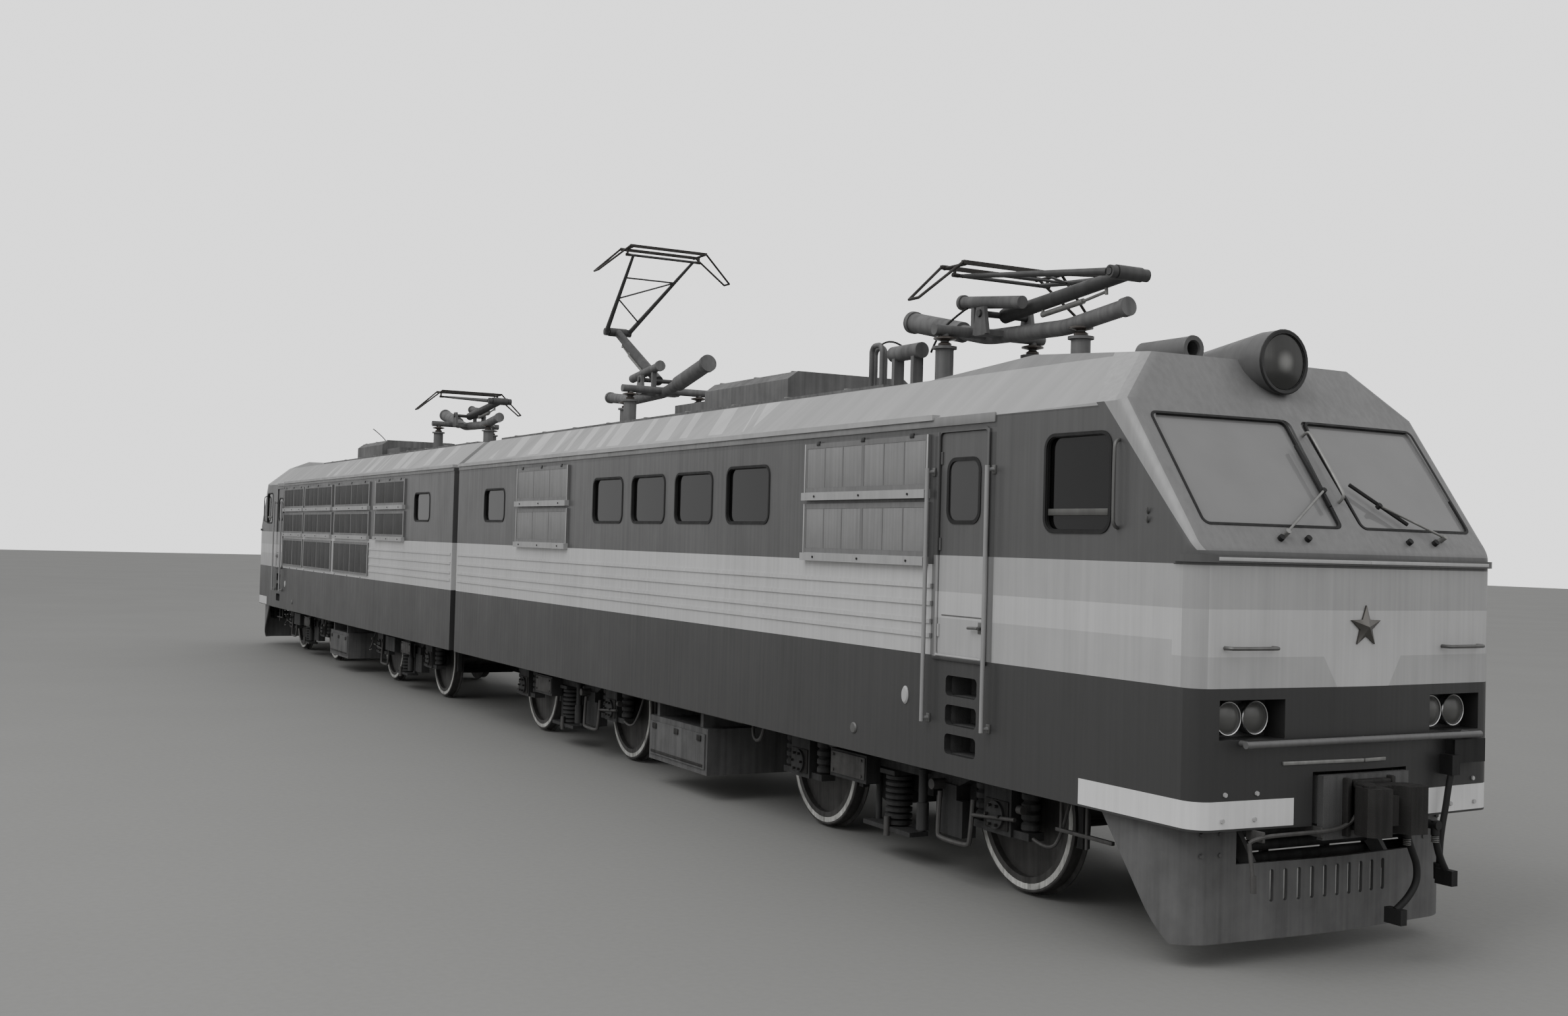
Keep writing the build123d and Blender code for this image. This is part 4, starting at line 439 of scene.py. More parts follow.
# The finish of each CAD node, by the end of its name; what is left are the wheelsets.
NODE_MATERIAL = {
    "body_sides": side_enamel, "door_right": side_enamel, "door_left": side_enamel, "cab_nose": nose_enamel,
    "roof": roof_grey, "glazing": window_panes, "filter_grilles": louvre_paint, "underframe": frame_grime,
    "interior": cab_paint, "lamps": lamp_enamel, "coupler": cast_steel, "plough": plough_enamel,
    "brake_hoses": black_rubber, "handrails": rail_paint, "gangway": black_rubber, "roof_gear": gear_enamel,
    "lower_arm": arm_enamel, "upper_arm": arm_enamel, "contact_head": strip_metal,
    "axleboxes_springs": bogie_grime, "frame": bogie_grime,
}
for name, piece in nodes.items():
    finish = next((NODE_MATERIAL[ending] for ending in NODE_MATERIAL if name.endswith(ending)), wheel_steel)
    for slot in piece.material_slots:
        slot.material = finish


# ---- shapes

HEX = 6


def turn_round(shape, angle):
    """Turns a whole shape about the locomotive's upright middle line."""
    bmesh.ops.rotate(shape, cent=(0, 0, 0), matrix=Matrix.Rotation(angle, 3, "Z"), verts=shape.verts[:])


def put(name, data):
    """A new object with the data, in the scene."""
    made = bpy.data.objects.new(name, data)
    bpy.context.scene.collection.objects.link(made)
    return made


def hang(name, shape, material, body):
    """Closes a shape's seams, turns its faces outward and hangs it on its body."""
    bmesh.ops.remove_doubles(shape, verts=shape.verts[:], dist=1e-6)
    bmesh.ops.recalc_face_normals(shape, faces=shape.faces[:])
    data = bpy.data.meshes.new(name)
    shape.to_mesh(data)
    shape.free()
    data.materials.append(material)
    data.shade_smooth()
    data.set_sharp_from_angle(angle=math.radians(32))
    piece = put(name, data)
    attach(piece, body)


def on_sections(name, shape, material):
    """The same fitting on both sections: drawn on the front one, turned half round for the rear."""
    for section, turn in SECTIONS.items():
        copy = shape.copy()
        turn_round(copy, turn)
        hang(f"{section}_{name}", copy, material, f"{section}_section")
    shape.free()


def on_bogies(name, shape, material):
    """The same fitting on all four bogies: drawn about a bogie's centre, X towards its own cab."""
    for bogie, centre in BOGIES.items():
        copy = shape.copy()
        if centre < 0:
            turn_round(copy, math.pi)
        bmesh.ops.translate(copy, vec=(centre, 0, 0), verts=copy.verts[:])
        hang(f"{bogie}_{name}", copy, material, bogie)
    shape.free()


def reach(side, near, far):
    """The y values from near to far out on one side, in rising order."""
    return sorted((side * near, side * far))


def slab(shape, x, y, height, soften=0.0, place=None):
    """A block between two values each of x, y and the height over the rail, or of the axes of place."""
    low, high = (at(*corner) if place is None else Vector(corner) for corner in zip(x, y, height))
    verts = bmesh.ops.create_cube(shape, size=1)["verts"]
    bmesh.ops.scale(shape, vec=high - low, verts=verts)
    bmesh.ops.translate(shape, vec=(low + high) / 2, verts=verts)
    if soften:
        edges = list({edge for vert in verts for edge in vert.link_edges})
        made = bmesh.ops.bevel(shape, geom=edges, offset=soften, offset_type="OFFSET", segments=2,
                               profile=0.5, affect="EDGES", material=-1, clamp_overlap=True)
        verts = list({vert for face in made["faces"] for vert in face.verts})
    if place is not None:
        bmesh.ops.transform(shape, matrix=place, verts=verts)


def bar(shape, start, end, radius, sides=12):
    """A round or many-sided bar between two points."""
    start, end = Vector(start), Vector(end)
    verts = bmesh.ops.create_cone(shape, cap_ends=True, segments=sides, radius1=radius, radius2=radius,
                                  depth=(end - start).length)["verts"]
    turn = (end - start).to_track_quat("Z", "Y").to_matrix().to_4x4()
    bmesh.ops.transform(shape, matrix=Matrix.Translation((start + end) / 2) @ turn, verts=verts)


def turned(shape, place, outline, sides=24):
    """A lathe shape: an outline of (radius, height) points spun about the Z axis of place."""
    others = set(shape.verts)
    points = [shape.verts.new((radius, 0, height)) for radius, height in outline]
    edges = [shape.edges.new(pair) for pair in zip(points, points[1:])]
    bmesh.ops.spin(shape, geom=points + edges, cent=(0, 0, 0), axis=(0, 0, 1), angle=2 * math.pi, steps=sides,
                   use_merge=True)
    bmesh.ops.transform(shape, matrix=place, verts=[vert for vert in shape.verts if vert not in others])


def pipe(shape, points, radius):
    """A round pipe or rod bent along the points."""
    course = bpy.data.curves.new("course", "CURVE")
    course.dimensions = "3D"
    course.bevel_depth = radius
    course.bevel_resolution = 2
    course.use_fill_caps = True
    spline = course.splines.new("NURBS" if len(points) > 2 else "POLY")
    spline.points.add(len(points) - 1)
    for bend, place in zip(spline.points, points):
        bend.co = (*place, 1)
    if spline.type == "NURBS":
        spline.order_u = 3
        spline.use_endpoint_u = True
        spline.resolution_u = 4
    holder = put("course", course)
    shape.from_mesh(holder.evaluated_get(bpy.context.evaluated_depsgraph_get()).to_mesh())
    bpy.data.objects.remove(holder)
    bpy.data.curves.remove(course)


def rim(shape, place, corners, radius, width, thick, filled=False):
    """A flat frame with rounded corners inside an outline of (x, y) corners, raised by thick."""
    verts = [shape.verts.new((x, y, 0)) for x, y in corners]
    others = set(shape.verts) - set(verts)
    shape.faces.new(verts)
    bmesh.ops.bevel(shape, geom=verts, offset=radius, offset_type="OFFSET", segments=6, profile=0.5,
                    affect="VERTICES", material=-1)
    face = next(f for f in shape.faces if not others & set(f.verts))
    ring = [face]
    if not filled:
        ring = bmesh.ops.inset_region(shape, faces=[face], thickness=width, depth=0, use_even_offset=True,
                                      use_boundary=True)["faces"]
        bmesh.ops.delete(shape, geom=[face], context="FACES_ONLY")
    raised = bmesh.ops.extrude_face_region(shape, geom=ring, use_keep_orig=True)["geom"]
    raised = [part for part in raised if isinstance(part, bmesh.types.BMVert)]
    bmesh.ops.translate(shape, vec=(0, 0, thick), verts=raised)
    bmesh.ops.transform(shape, matrix=place, verts=[vert for vert in shape.verts if vert not in others])


def axes_place(origin, x_axis, y_axis):
    """The placing whose X and Y run along the two axes, and whose Z leaves the surface."""
    x_axis = Vector(x_axis).normalized()
    z_axis = x_axis.cross(Vector(y_axis)).normalized()
    y_axis = z_axis.cross(x_axis)
    turn = Matrix((x_axis, y_axis, z_axis)).transposed().to_4x4()
    return Matrix.Translation(origin) @ turn


def forward_place(x, y, height):
    """A placing that faces forward, with its X to the left and its Y up."""
    return axes_place(at(x, y, height), (0, 1, 0), (0, 0, 1))


def wall_y(x):
    """How far the side wall stands from the centre line: it draws in a little along the cab."""
    return BODY_HALF - max(0.0, x - TAPER_X) * CAB_TAPER


def wall(side, x, height, out=0.0):
    """A placing on the side wall, out from it by out; its X runs forward on the right, back on the left."""
    taper = CAB_TAPER if x > TAPER_X else 0.0
    along = (1, taper, 0) if side < 0 else (-1, taper, 0)
    return axes_place(at(x, side * (wall_y(x) + out), height), along, (0, 0, 1))


def screen(side, y, height, out=0.0):
    """A point on the raked front, out of its surface by out."""
    normal = Vector((1, side * NOSE_V, NOSE_RAKE)).normalized()
    return at(NOSE_X - NOSE_V * abs(y) - NOSE_RAKE * (height - RAKE_H), y, height) + normal * out


def front(y, height, out=0.0):
    """A point on the upright part of the front, which is a little pointed in plan."""
    return at(NOSE_X - NOSE_V * abs(y) + out, y, height)


def front_place(y, height, out=0.0):
    """A placing on the upright part of the front, with its X along the face to the left."""
    lean = -NOSE_V if y > 0 else NOSE_V
    return axes_place(front(y, height, out), (lean if y else 0.0, 1, 0), (0, 0, 1))


def box_corners(width, tall):
    return [(-width / 2, -tall / 2), (width / 2, -tall / 2), (width / 2, tall / 2), (-width / 2, tall / 2)]


# ---- windows

# Each window's rear edge, width, sill height and own height.
WINDOWS_RIGHT = ((1.43, 0.88, 2.93, 0.44), (5.69, 0.90, 2.92, 0.51), (6.89, 0.90, 2.92, 0.51),
                 (8.09, 0.90, 2.92, 0.51), (9.35, 0.90, 2.92, 0.54))
WINDOWS_LEFT = WINDOWS_RIGHT[:1]
CAB_WINDOW = (14.55, 0.69, 2.87, 0.68)
SASH_UP = 0.131
CORNER_R = 0.09
FRAME_LAP = 0.022
# The corners of a windscreen, from its lower inner one: (y, height).
SCREEN_CORNERS = ((0.094, 2.922), (1.300, 2.922), (1.300, 3.704), (0.087, 3.704))

window_rims = bmesh.new()
sashes = bmesh.new()
seals = bmesh.new()
for side, windows in ((-1, WINDOWS_RIGHT), (1, WINDOWS_LEFT)):
    for start, width, low, tall in (*windows, CAB_WINDOW):
        middle = (start + width / 2, low + tall / 2)
        rim(window_rims, wall(side, *middle), box_corners(width + 2 * FRAME_LAP, tall + 2 * FRAME_LAP),
            CORNER_R + FRAME_LAP, 0.024, 0.008)
        rim(seals, wall(side, *middle, -0.022), box_corners(width, tall), CORNER_R, 0.009, 0.020)
    start, width, low, tall = CAB_WINDOW
    slab(sashes, (-width / 2 + 0.02, width / 2 - 0.02), (-0.025, 0.025), (0, 0.014), 0.004,
         wall(side, start + width / 2, low + SASH_UP, -0.018))
on_sections("window_frames", window_rims, black_rubber)
on_sections("sash_bars", sashes, frame_metal)
on_sections("window_seals", seals, black_rubber)

screen_seals = bmesh.new()
for side in (-1, 1):
    corners = [screen(side, side * y, height, -0.014) for y, height in SCREEN_CORNERS]
    place = axes_place(corners[0], (-side * NOSE_V, 1, 0), (-NOSE_RAKE, 0, 1))
    outline = [tuple((place.inverted() @ corner)[:2]) for corner in corners]
    rim(screen_seals, place, outline if side > 0 else outline[::-1], 0.06, 0.020, 0.018)
on_sections("windscreen_seals", screen_seals, black_rubber)

# Wipers: a pale arm's foot and tip, the dark blade's two ends, and the two washer jets, all (y, height).
WIPERS = (((-0.66, 2.865), (-0.13, 3.165), ((-0.135, 3.06), (-0.155, 3.49)), ((-0.71, 2.84), (-0.475, 2.84))),
          ((0.89, 2.865), (0.36, 3.075), ((0.175, 3.225), (0.575, 2.955)), ((0.80, 2.84), (0.515, 2.84))))
blades = bmesh.new()
arms = bmesh.new()
for foot, tip, ends, jets in WIPERS:
    side = math.copysign(1, foot[0])
    bar(arms, screen(side, *foot, 0.042), screen(side, *tip, 0.045), 0.009)
    bar(arms, screen(side, *foot, -0.002), screen(side, *foot, 0.055), 0.020)
    bar(blades, screen(side, *ends[0], 0.030), screen(side, *ends[1], 0.030), 0.014, sides=HEX)
    bar(blades, screen(side, *tip, 0.020), screen(side, *tip, 0.055), 0.020, sides=HEX)
    for jet in jets:
        bar(blades, screen(side, *jet, -0.002), screen(side, *jet, 0.030), 0.022)
on_sections("wiper_blades", blades, black_rubber)
on_sections("wiper_arms", arms, zinc_steel)

# The grab rail up the post between the windscreens: (height, how far out).
POST_RAIL = ((3.11, 0.0), (3.11, 0.06), (3.15, 0.07), (3.55, 0.07), (3.59, 0.06), (3.59, 0.0))
post_rail = bmesh.new()
pipe(post_rail, [screen(1, 0, height, out) for height, out in POST_RAIL], 0.012)
on_sections("post_rail", post_rail, zinc_steel)


# ---- front

# A star of flat facets: every other point of a circle drawn in, the middle raised.
STAR_R, STAR_WAIST, STAR_TALL = 0.146, 0.42, 0.028
star = bmesh.new()
tips = bmesh.ops.create_circle(star, cap_ends=True, cap_tris=True, segments=10, radius=STAR_R)["verts"]
middle = min(tips, key=lambda vert: vert.co.length)
for vert in tips:
    if vert is not middle and round(math.degrees(math.atan2(vert.co.y, vert.co.x)) - 90) % 72:
        vert.co *= STAR_WAIST
middle.co.z = STAR_TALL
backing = bmesh.ops.extrude_edge_only(star, edges=[edge for edge in star.edges if edge.is_boundary])["geom"]
backing = [part for part in backing if isinstance(part, bmesh.types.BMVert)]
bmesh.ops.translate(star, vec=(0, 0, -0.02), verts=backing)
bmesh.ops.transform(star, matrix=front_place(0, 2.26, 0.004), verts=star.verts[:])
on_sections("star", star, star_metal)

# The hand rails on the front: (y, how far out) points from the outer end.
FRONT_RAIL_H = 2.12
FRONT_RAIL = ((1.22, 0.0), (1.22, 0.06), (1.19, 0.075), (0.85, 0.075), (0.82, 0.06), (0.82, 0.0))
front_rails = bmesh.new()
for side in (-1, 1):
    pipe(front_rails, [front(side * y, FRONT_RAIL_H, out) for y, out in FRONT_RAIL], 0.013)
on_sections("front_rails", front_rails, dull_steel)

MARKER_X, MARKER_H = 16.045, 1.65
MARKERS_Y = (1.09, 0.85)
MARKER_RIM = ((0.104, -0.01), (0.114, -0.01), (0.116, 0.004), (0.112, 0.010), (0.106, 0.008), (0.104, -0.01))
MARKER_LENS = ((0.0, 0.026), (0.040, 0.023), (0.078, 0.012), (0.104, -0.004), (0.104, -0.012), (0.0, -0.012))
lamp_rims = bmesh.new()
lenses = bmesh.new()
for side in (-1, 1):
    for y in MARKERS_Y:
        turned(lamp_rims, forward_place(MARKER_X, side * y, MARKER_H), MARKER_RIM)
        turned(lenses, forward_place(MARKER_X, side * y, MARKER_H), MARKER_LENS)
on_sections("marker_rims", lamp_rims, chrome_rim)
on_sections("marker_lenses", lenses, marker_glass)

HEADLAMP_X = 15.42
HORN_AT = (15.01, -0.5, 4.235)
headlamp = forward_place(HEADLAMP_X, 0, HEADLAMP_H)
shade_ring = bmesh.new()
turned(shade_ring, headlamp, ((0.205, -0.006), (0.237, -0.008), (0.240, 0.004), (0.231, 0.011),
                              (0.209, 0.009), (0.205, -0.006)), 32)
on_sections("headlamp_rim", shade_ring, black_enamel)
lamp_face = bmesh.new()
turned(lamp_face, headlamp, ((0.0, 0.020), (0.050, 0.0185), (0.100, 0.014), (0.150, 0.0075), (0.200, -0.002),
                             (0.202, -0.019), (0.0, -0.019)), 48)
on_sections("headlamp_glass", lamp_face, lamp_glass)
horn_lip = bmesh.new()
turned(horn_lip, forward_place(*HORN_AT),
       ((0.058, -0.01), (0.094, -0.01), (0.101, 0.0), (0.098, 0.012), (0.064, 0.010), (0.058, -0.01)))
on_sections("horn_lip", horn_lip, lamp_enamel)

# The bright strip across the front under the windscreens, and the bolts in the edge stripe: (y, height).
STRIP_HALF, STRIP_H = 0.653, 2.698
STRIPE_BOLTS = ((0.946, 1.0), (1.214, 1.0), (0.93, 1.168), (1.195, 1.168))
strips = bmesh.new()
for side in (-1, 1):
    slab(strips, (-STRIP_HALF, STRIP_HALF), (-0.012, 0.012), (-0.004, 0.006), 0.002,
         front_place(side * STRIP_HALF, STRIP_H, 0.028))
for side in (-1, 1):
    for y, height in STRIPE_BOLTS:
        bar(strips, front(side * y, height, -0.002), front(side * y, height, 0.014), 0.016, sides=HEX)
on_sections("front_strips", strips, ledge_enamel)

# The foot plates across the front, each from its right end to its left.
FOOT_PLATE_H = 1.356
FOOT_PLATES = ((-0.716, -0.004), (0.004, 0.22))
foot_plates = bmesh.new()
for start, end in FOOT_PLATES:
    half = (end - start) / 2
    slab(foot_plates, (-half, half), (-0.012, 0.012), (-0.004, 0.012), 0.003,
         front_place(start + half, FOOT_PLATE_H))
on_sections("foot_plates", foot_plates, zinc_steel)

# Air pipes across the front behind the plough's upper edge, each at (x, height), with their clips.
AIR_PIPES = ((15.66, 0.62), (15.68, 0.715), (15.66, 0.81))
AIR_PIPE_HALF = 1.20
AIR_CLIPS_Y = (-1.12, -0.72, -0.30, 0.30, 0.72, 1.12)
air_pipes = bmesh.new()
for x, height in AIR_PIPES:
    bar(air_pipes, at(x, -AIR_PIPE_HALF, height), at(x, AIR_PIPE_HALF, height), 0.040)
for y in AIR_CLIPS_Y:
    slab(air_pipes, (15.59, 15.63), (y - 0.03, y + 0.03), (0.57, 0.95), 0.004)
on_sections("air_pipes", air_pipes, bogie_grime)

# Uncoupling rod across the front with its handle, hung in two brackets.
LEVER_ROD = ((16.22, -1.05, 0.86), (16.24, -1.02, 0.90), (16.26, -0.6, 0.905), (16.27, -0.25, 0.91),
             (16.30, -0.12, 1.02), (16.30, -0.08, 1.22))
LEVER_HANDLE = ((16.22, -1.05, 0.86), (16.25, -1.06, 0.74), (16.27, -1.06, 0.62))
lever = bmesh.new()
pipe(lever, [at(*bend) for bend in LEVER_ROD], 0.014)
pipe(lever, [at(*bend) for bend in LEVER_HANDLE], 0.015)
bar(lever, at(16.27, -1.06, 0.66), at(16.275, -1.06, 0.55), 0.021)
for y in (-0.95, -0.42):
    slab(lever, (16.10, 16.25), (y - 0.012, y + 0.012), (0.86, 0.93), 0.004)
on_sections("uncoupling_rod", lever, grimy_steel)

# The coupler's lock lever and the ribs and bolts round its shank.
knuckle = bmesh.new()
bar(knuckle, at(16.43, -0.19, 0.89), at(16.43, -0.19, 1.225), 0.045)
slab(knuckle, (16.30, 16.41), (-0.20, -0.10), (1.19, 1.23), 0.012)
for rib in ((0.90, 0.935), (1.20, 1.235)):
    slab(knuckle, (16.16, 16.30), (-0.17, 0.17), rib, 0.008)
for side in (-1, 1):
    slab(knuckle, (16.19, 16.29), (side * 0.21 - 0.02, side * 0.21 + 0.02), (0.86, 1.25), 0.01)
    for y in (0.24, 0.36):
        for height in (0.90, 1.21):
            bar(knuckle, at(16.215, side * y, height), at(16.238, side * y, height), 0.020, sides=HEX)
on_sections("coupler_fittings", knuckle, cast_steel)

# Bolts along the plough's upper edge, which is a little pointed in plan.
PLOUGH_X, PLOUGH_V = 15.96, 0.068
plough_bolts = bmesh.new()
for y in (-1.14, -0.99, 0.99, 1.14):
    for height in (0.72, 0.86):
        x = PLOUGH_X - PLOUGH_V * abs(y)
        bar(plough_bolts, at(x - 0.004, y, height), at(x + 0.012, y, height), 0.016, sides=HEX)
on_sections("plough_bolts", plough_bolts, plough_enamel)


# ---- sides

DOOR_X = (13.20, 13.84)
DOOR_H = (1.86, 3.64)
DOOR_MIDDLE_X, DOOR_MIDDLE_H = sum(DOOR_X) / 2, sum(DOOR_H) / 2
# The door glass as a window: rear edge, width, sill height and own height.
DOOR_GLASS = (13.31, 0.42, 2.93, 0.49)
HANDLE_H = 2.105
HINGES_H = (2.06, 2.75, 3.44)

door_frames = bmesh.new()
for side in (-1, 1):
    rim(door_frames, wall(side, DOOR_MIDDLE_X, DOOR_MIDDLE_H), box_corners(0.70, 1.84), 0.06, 0.026, 0.010)
    slab(door_frames, (-0.36, 0.36), (-0.016, 0.016), (0, 0.02), 0.004, wall(side, DOOR_MIDDLE_X, 1.842))
    for x in (DOOR_X[0] - 0.022, DOOR_X[1] + 0.022):
        slab(door_frames, (-0.012, 0.012), (-0.90, 0.90), (0, 0.016), 0.003, wall(side, x, DOOR_MIDDLE_H))
start, width, low, tall = DOOR_GLASS
for section, turn in SECTIONS.items():
    for name, side in SIDES.items():
        door = f"{section}_door_{name}"
        seal = bmesh.new()
        rim(seal, wall(side, start + width / 2, low + tall / 2, -0.008),
            box_corners(width + 0.04, tall + 0.04), CORNER_R + 0.02, 0.030, 0.009)
        pane = bmesh.new()
        rim(pane, wall(side, start + width / 2, low + tall / 2, -0.012), box_corners(width, tall), CORNER_R,
            0, 0.003, filled=True)
        grip = bmesh.new()
        x = DOOR_X[1] - 0.05
        y = wall_y(x) - 0.006
        slab(grip, (x - 0.035, x + 0.035), reach(side, y - 0.002, y + 0.006), (2.06, 2.15), 0.006)
        bar(grip, at(x, side * y, HANDLE_H), at(x, side * (y + 0.035), HANDLE_H), 0.014)
        pipe(grip, [at(x, side * (y + 0.032), HANDLE_H), at(x - 0.06, side * (y + 0.036), HANDLE_H),
                    at(x - 0.13, side * (y + 0.034), HANDLE_H - 0.005)], 0.011)
        slab(grip, (DOOR_X[0] + 0.05, DOOR_X[1] - 0.01), reach(side, y - 0.001, y + 0.003), (2.178, 2.188),
             0.001)
        hinges = bmesh.new()
        for height in HINGES_H:
            bar(hinges, at(DOOR_X[0] + 0.014, side * (y + 0.004), height - 0.05),
                at(DOOR_X[0] + 0.014, side * (y + 0.004), height + 0.05), 0.011)
        for fitting, shape, material, slot in (
                ("seal", seal, black_rubber, "rubber"), ("pane", pane, door_glass, "window_glass"),
                ("handle", grip, dull_steel, "rail_steel"), ("hinges", hinges, side_enamel, "side_paint")):
            turn_round(shape, turn)
            hang(f"{door}_{fitting}", shape, material, door)
on_sections("door_frames", door_frames, side_enamel)
door_sills = bmesh.new()
for side in (-1, 1):
    slab(door_sills, (-0.31, 0.31), (-0.007, 0.007), (0.010, 0.026), 0.002, wall(side, DOOR_MIDDLE_X, 1.866))
on_sections("door_sills", door_sills, ledge_enamel)

# Grilles: side, rear edge, width, rows, and panels in a row. Each has bright upright end frames, clips
# along the top, bolts along each rain ledge, and filter mats that fill its bays nearly to the bars' faces.
GRILLES = ((-1, 2.90, 1.95, 2, 1), (-1, 11.00, 2.05, 2, 2), (1, 2.90, 1.95, 2, 1), (1, 5.30, 2.75, 3, 2),
           (1, 8.30, 2.55, 3, 2), (1, 11.00, 2.05, 3, 2))
BAYS = 3
end_frames = bmesh.new()
clips = bmesh.new()
mats = {-1: bmesh.new(), 1: bmesh.new()}
for side, start, width, rows, columns in GRILLES:
    for low, high in GRILLE_ROWS[:rows]:
        for x in (start + 0.010, start + width - 0.010):
            slab(end_frames, (-0.008, 0.008), (low - high, 0), (0, 0.006), 0.002, wall(side, x, high, 0.026))
        for share in (0.12, 0.5, 0.88):
            x = start + width * share
            if low == GRILLE_ROWS[0][0]:
                slab(clips, (-0.030, 0.030), (-0.020, 0.018), (0.020, 0.034), 0.003, wall(side, x, high))
            place = wall(side, x, low - 0.035, 0.060)
            bar(clips, place @ Vector((0, 0, 0)), place @ Vector((0, 0, 0.010)), 0.010, sides=HEX)
    cell = (width - GRILLE_FRAME) / columns
    bay = (cell - GRILLE_FRAME) / BAYS
    for column in range(columns):
        for index in range(BAYS):
            near = start + GRILLE_FRAME + column * cell + index * bay + (GRILLE_BAR / 2 if index > 0 else 0)
            far = start + GRILLE_FRAME + column * cell + (index + 1) * bay
            far -= GRILLE_BAR / 2 if index < BAYS - 1 else 0
            half = (far - near) / 2
            for low, high in GRILLE_ROWS[:rows]:
                tall = (high - low) / 2 - GRILLE_FRAME
                slab(mats[side], (-half, half), (-tall, tall), (0.012, 0.0235), 0.001,
                     wall(side, (near + far) / 2, (low + high) / 2))
on_sections("filter_mats", mats[-1], pale_mat)
on_sections("louvre_mats", mats[1], dark_mat)
on_sections("grille_frames", end_frames, ledge_enamel)
on_sections("grille_clips", clips, black_enamel)

# Gutter along the top of the machine room's side, with a square end over the door.
GUTTER_X, GUTTER_H = (0.14, 13.93), (3.695, 3.772)
gutter = bmesh.new()
for side in (-1, 1):
    slab(gutter, GUTTER_X, reach(side, 1.470, 1.487), GUTTER_H, 0.004)
on_sections("gutter", gutter, gutter_enamel)

# Cab side: the mirror's bar ahead of the window as (forward, out, height), hooks and rail feet, filler caps.
MIRROR_X = 15.33
MIRROR_BAR = ((0, 0, 3.50), (0.02, 0.055, 3.49), (0.02, 0.06, 3.40), (0.02, 0.06, 2.98), (0.02, 0.055, 2.90),
              (0, 0, 2.89))
FILLER_CAP = ((0.0, 0.020), (0.060, 0.017), (0.075, 0.006), (0.075, -0.004), (0.0, -0.004))
SMALL_CAP = ((0.0, 0.016), (0.040, 0.014), (0.050, 0.004), (0.050, -0.004), (0.0, -0.004))
# Where the caps and the rails' feet sit on the side: along and over the rail. The filler cap is oval.
FILLER_AT, SMALL_CAP_AT = (12.76, 1.496), (11.95, 1.131)
FILLER_WIDTH = 0.62
RAIL_FEET_X, RAIL_FEET_H = (13.11, 13.93), (1.35, 3.33)
mirrors = bmesh.new()
hooks = bmesh.new()
caps = bmesh.new()
for side in (-1, 1):
    y = side * wall_y(MIRROR_X)
    pipe(mirrors, [at(MIRROR_X + ahead, y + side * out, height) for ahead, out, height in MIRROR_BAR], 0.013)
    for height in (2.93, 2.99):
        pipe(hooks, [at(15.62, side * 1.425, height), at(15.64, side * 1.46, height),
                     at(15.64, side * 1.46, height + 0.04)], 0.008)
    turned(caps, wall(side, *FILLER_AT) @ Matrix.Diagonal((FILLER_WIDTH, 1, 1, 1)), FILLER_CAP)
    turned(hooks, wall(side, *SMALL_CAP_AT), SMALL_CAP)
    for x in RAIL_FEET_X:
        for height in RAIL_FEET_H:
            slab(hooks, (-0.022, 0.022), (-0.035, 0.035), (-0.002, 0.012), 0.004, wall(side, x, height))
on_sections("mirror_bars", mirrors, dull_steel)
on_sections("filler_caps", caps, ledge_enamel)
on_sections("side_hooks", hooks, dull_steel)


# ---- bogies and wheels

TYRE_Y = 0.860
TYRE_RING = ((0.556, -0.003), (0.556, 0.0015), (0.602, 0.0015), (0.602, -0.003), (0.556, -0.003))
for axle, x in AXLES.items():
    ring = bmesh.new()
    for side in (-1, 1):
        outward = Matrix.Rotation(-side * math.pi / 2, 4, "X")
        turned(ring, Matrix.Translation(at(x, side * TYRE_Y, AXLE_H)) @ outward, TYRE_RING, 48)
    hang(f"wheelset_{axle}_tyre_rings", ring, tyre_paint, f"wheelset_{axle}")

COVER_BOLTS, COVER_BOLTS_R = 6, 0.085
covers = bmesh.new()
for axle_x in (-AXLE_OUT, AXLE_OUT):
    for side in (-1, 1):
        for index in range(COVER_BOLTS):
            angle = index * 2 * math.pi / COVER_BOLTS
            x, height = axle_x + COVER_BOLTS_R * math.cos(angle), AXLE_H + COVER_BOLTS_R * math.sin(angle)
            bar(covers, at(x, side * 1.13, height), at(x, side * 1.195, height), 0.012, sides=HEX)
        slab(covers, (axle_x - 0.15, axle_x + 0.15), reach(side, 1.128, 1.142),
             (AXLE_H - 0.11, AXLE_H + 0.12), 0.006)
on_bogies("axlebox_covers", covers, cast_steel)

# Bends of the bogies' rods and guards, as (x, how far out, height).
SPRING_GUARD = ((0.84, 1.16, 0.70), (0.84, 1.18, 0.36), (0.87, 1.18, 0.32), (1.27, 1.18, 0.32),
                (1.31, 1.18, 0.36), (1.31, 1.16, 0.70))
BRAKE_HANGER = ((2.09, 1.15, 0.52), (2.30, 1.17, 0.47), (2.36, 1.10, 0.56), (2.36, 1.02, 0.84))
BRAKE_PIPE = ((-1.5, 1.10, 0.93), (-1.0, 1.12, 0.95), (0.9, 1.12, 0.95), (1.5, 1.10, 0.93))
# The drain pipe's loop under the floor, in the same columns.
DRAIN_LOOP = ((9.60, 1.22, 0.98), (9.60, 1.25, 0.80), (9.72, 1.25, 0.72), (9.84, 1.25, 0.80),
              (9.84, 1.22, 0.98))


def bends(side, course):
    """The points of a pipe's course, (x, how far out, height), on one side."""
    return [at(x, side * out, height) for x, out, height in course]


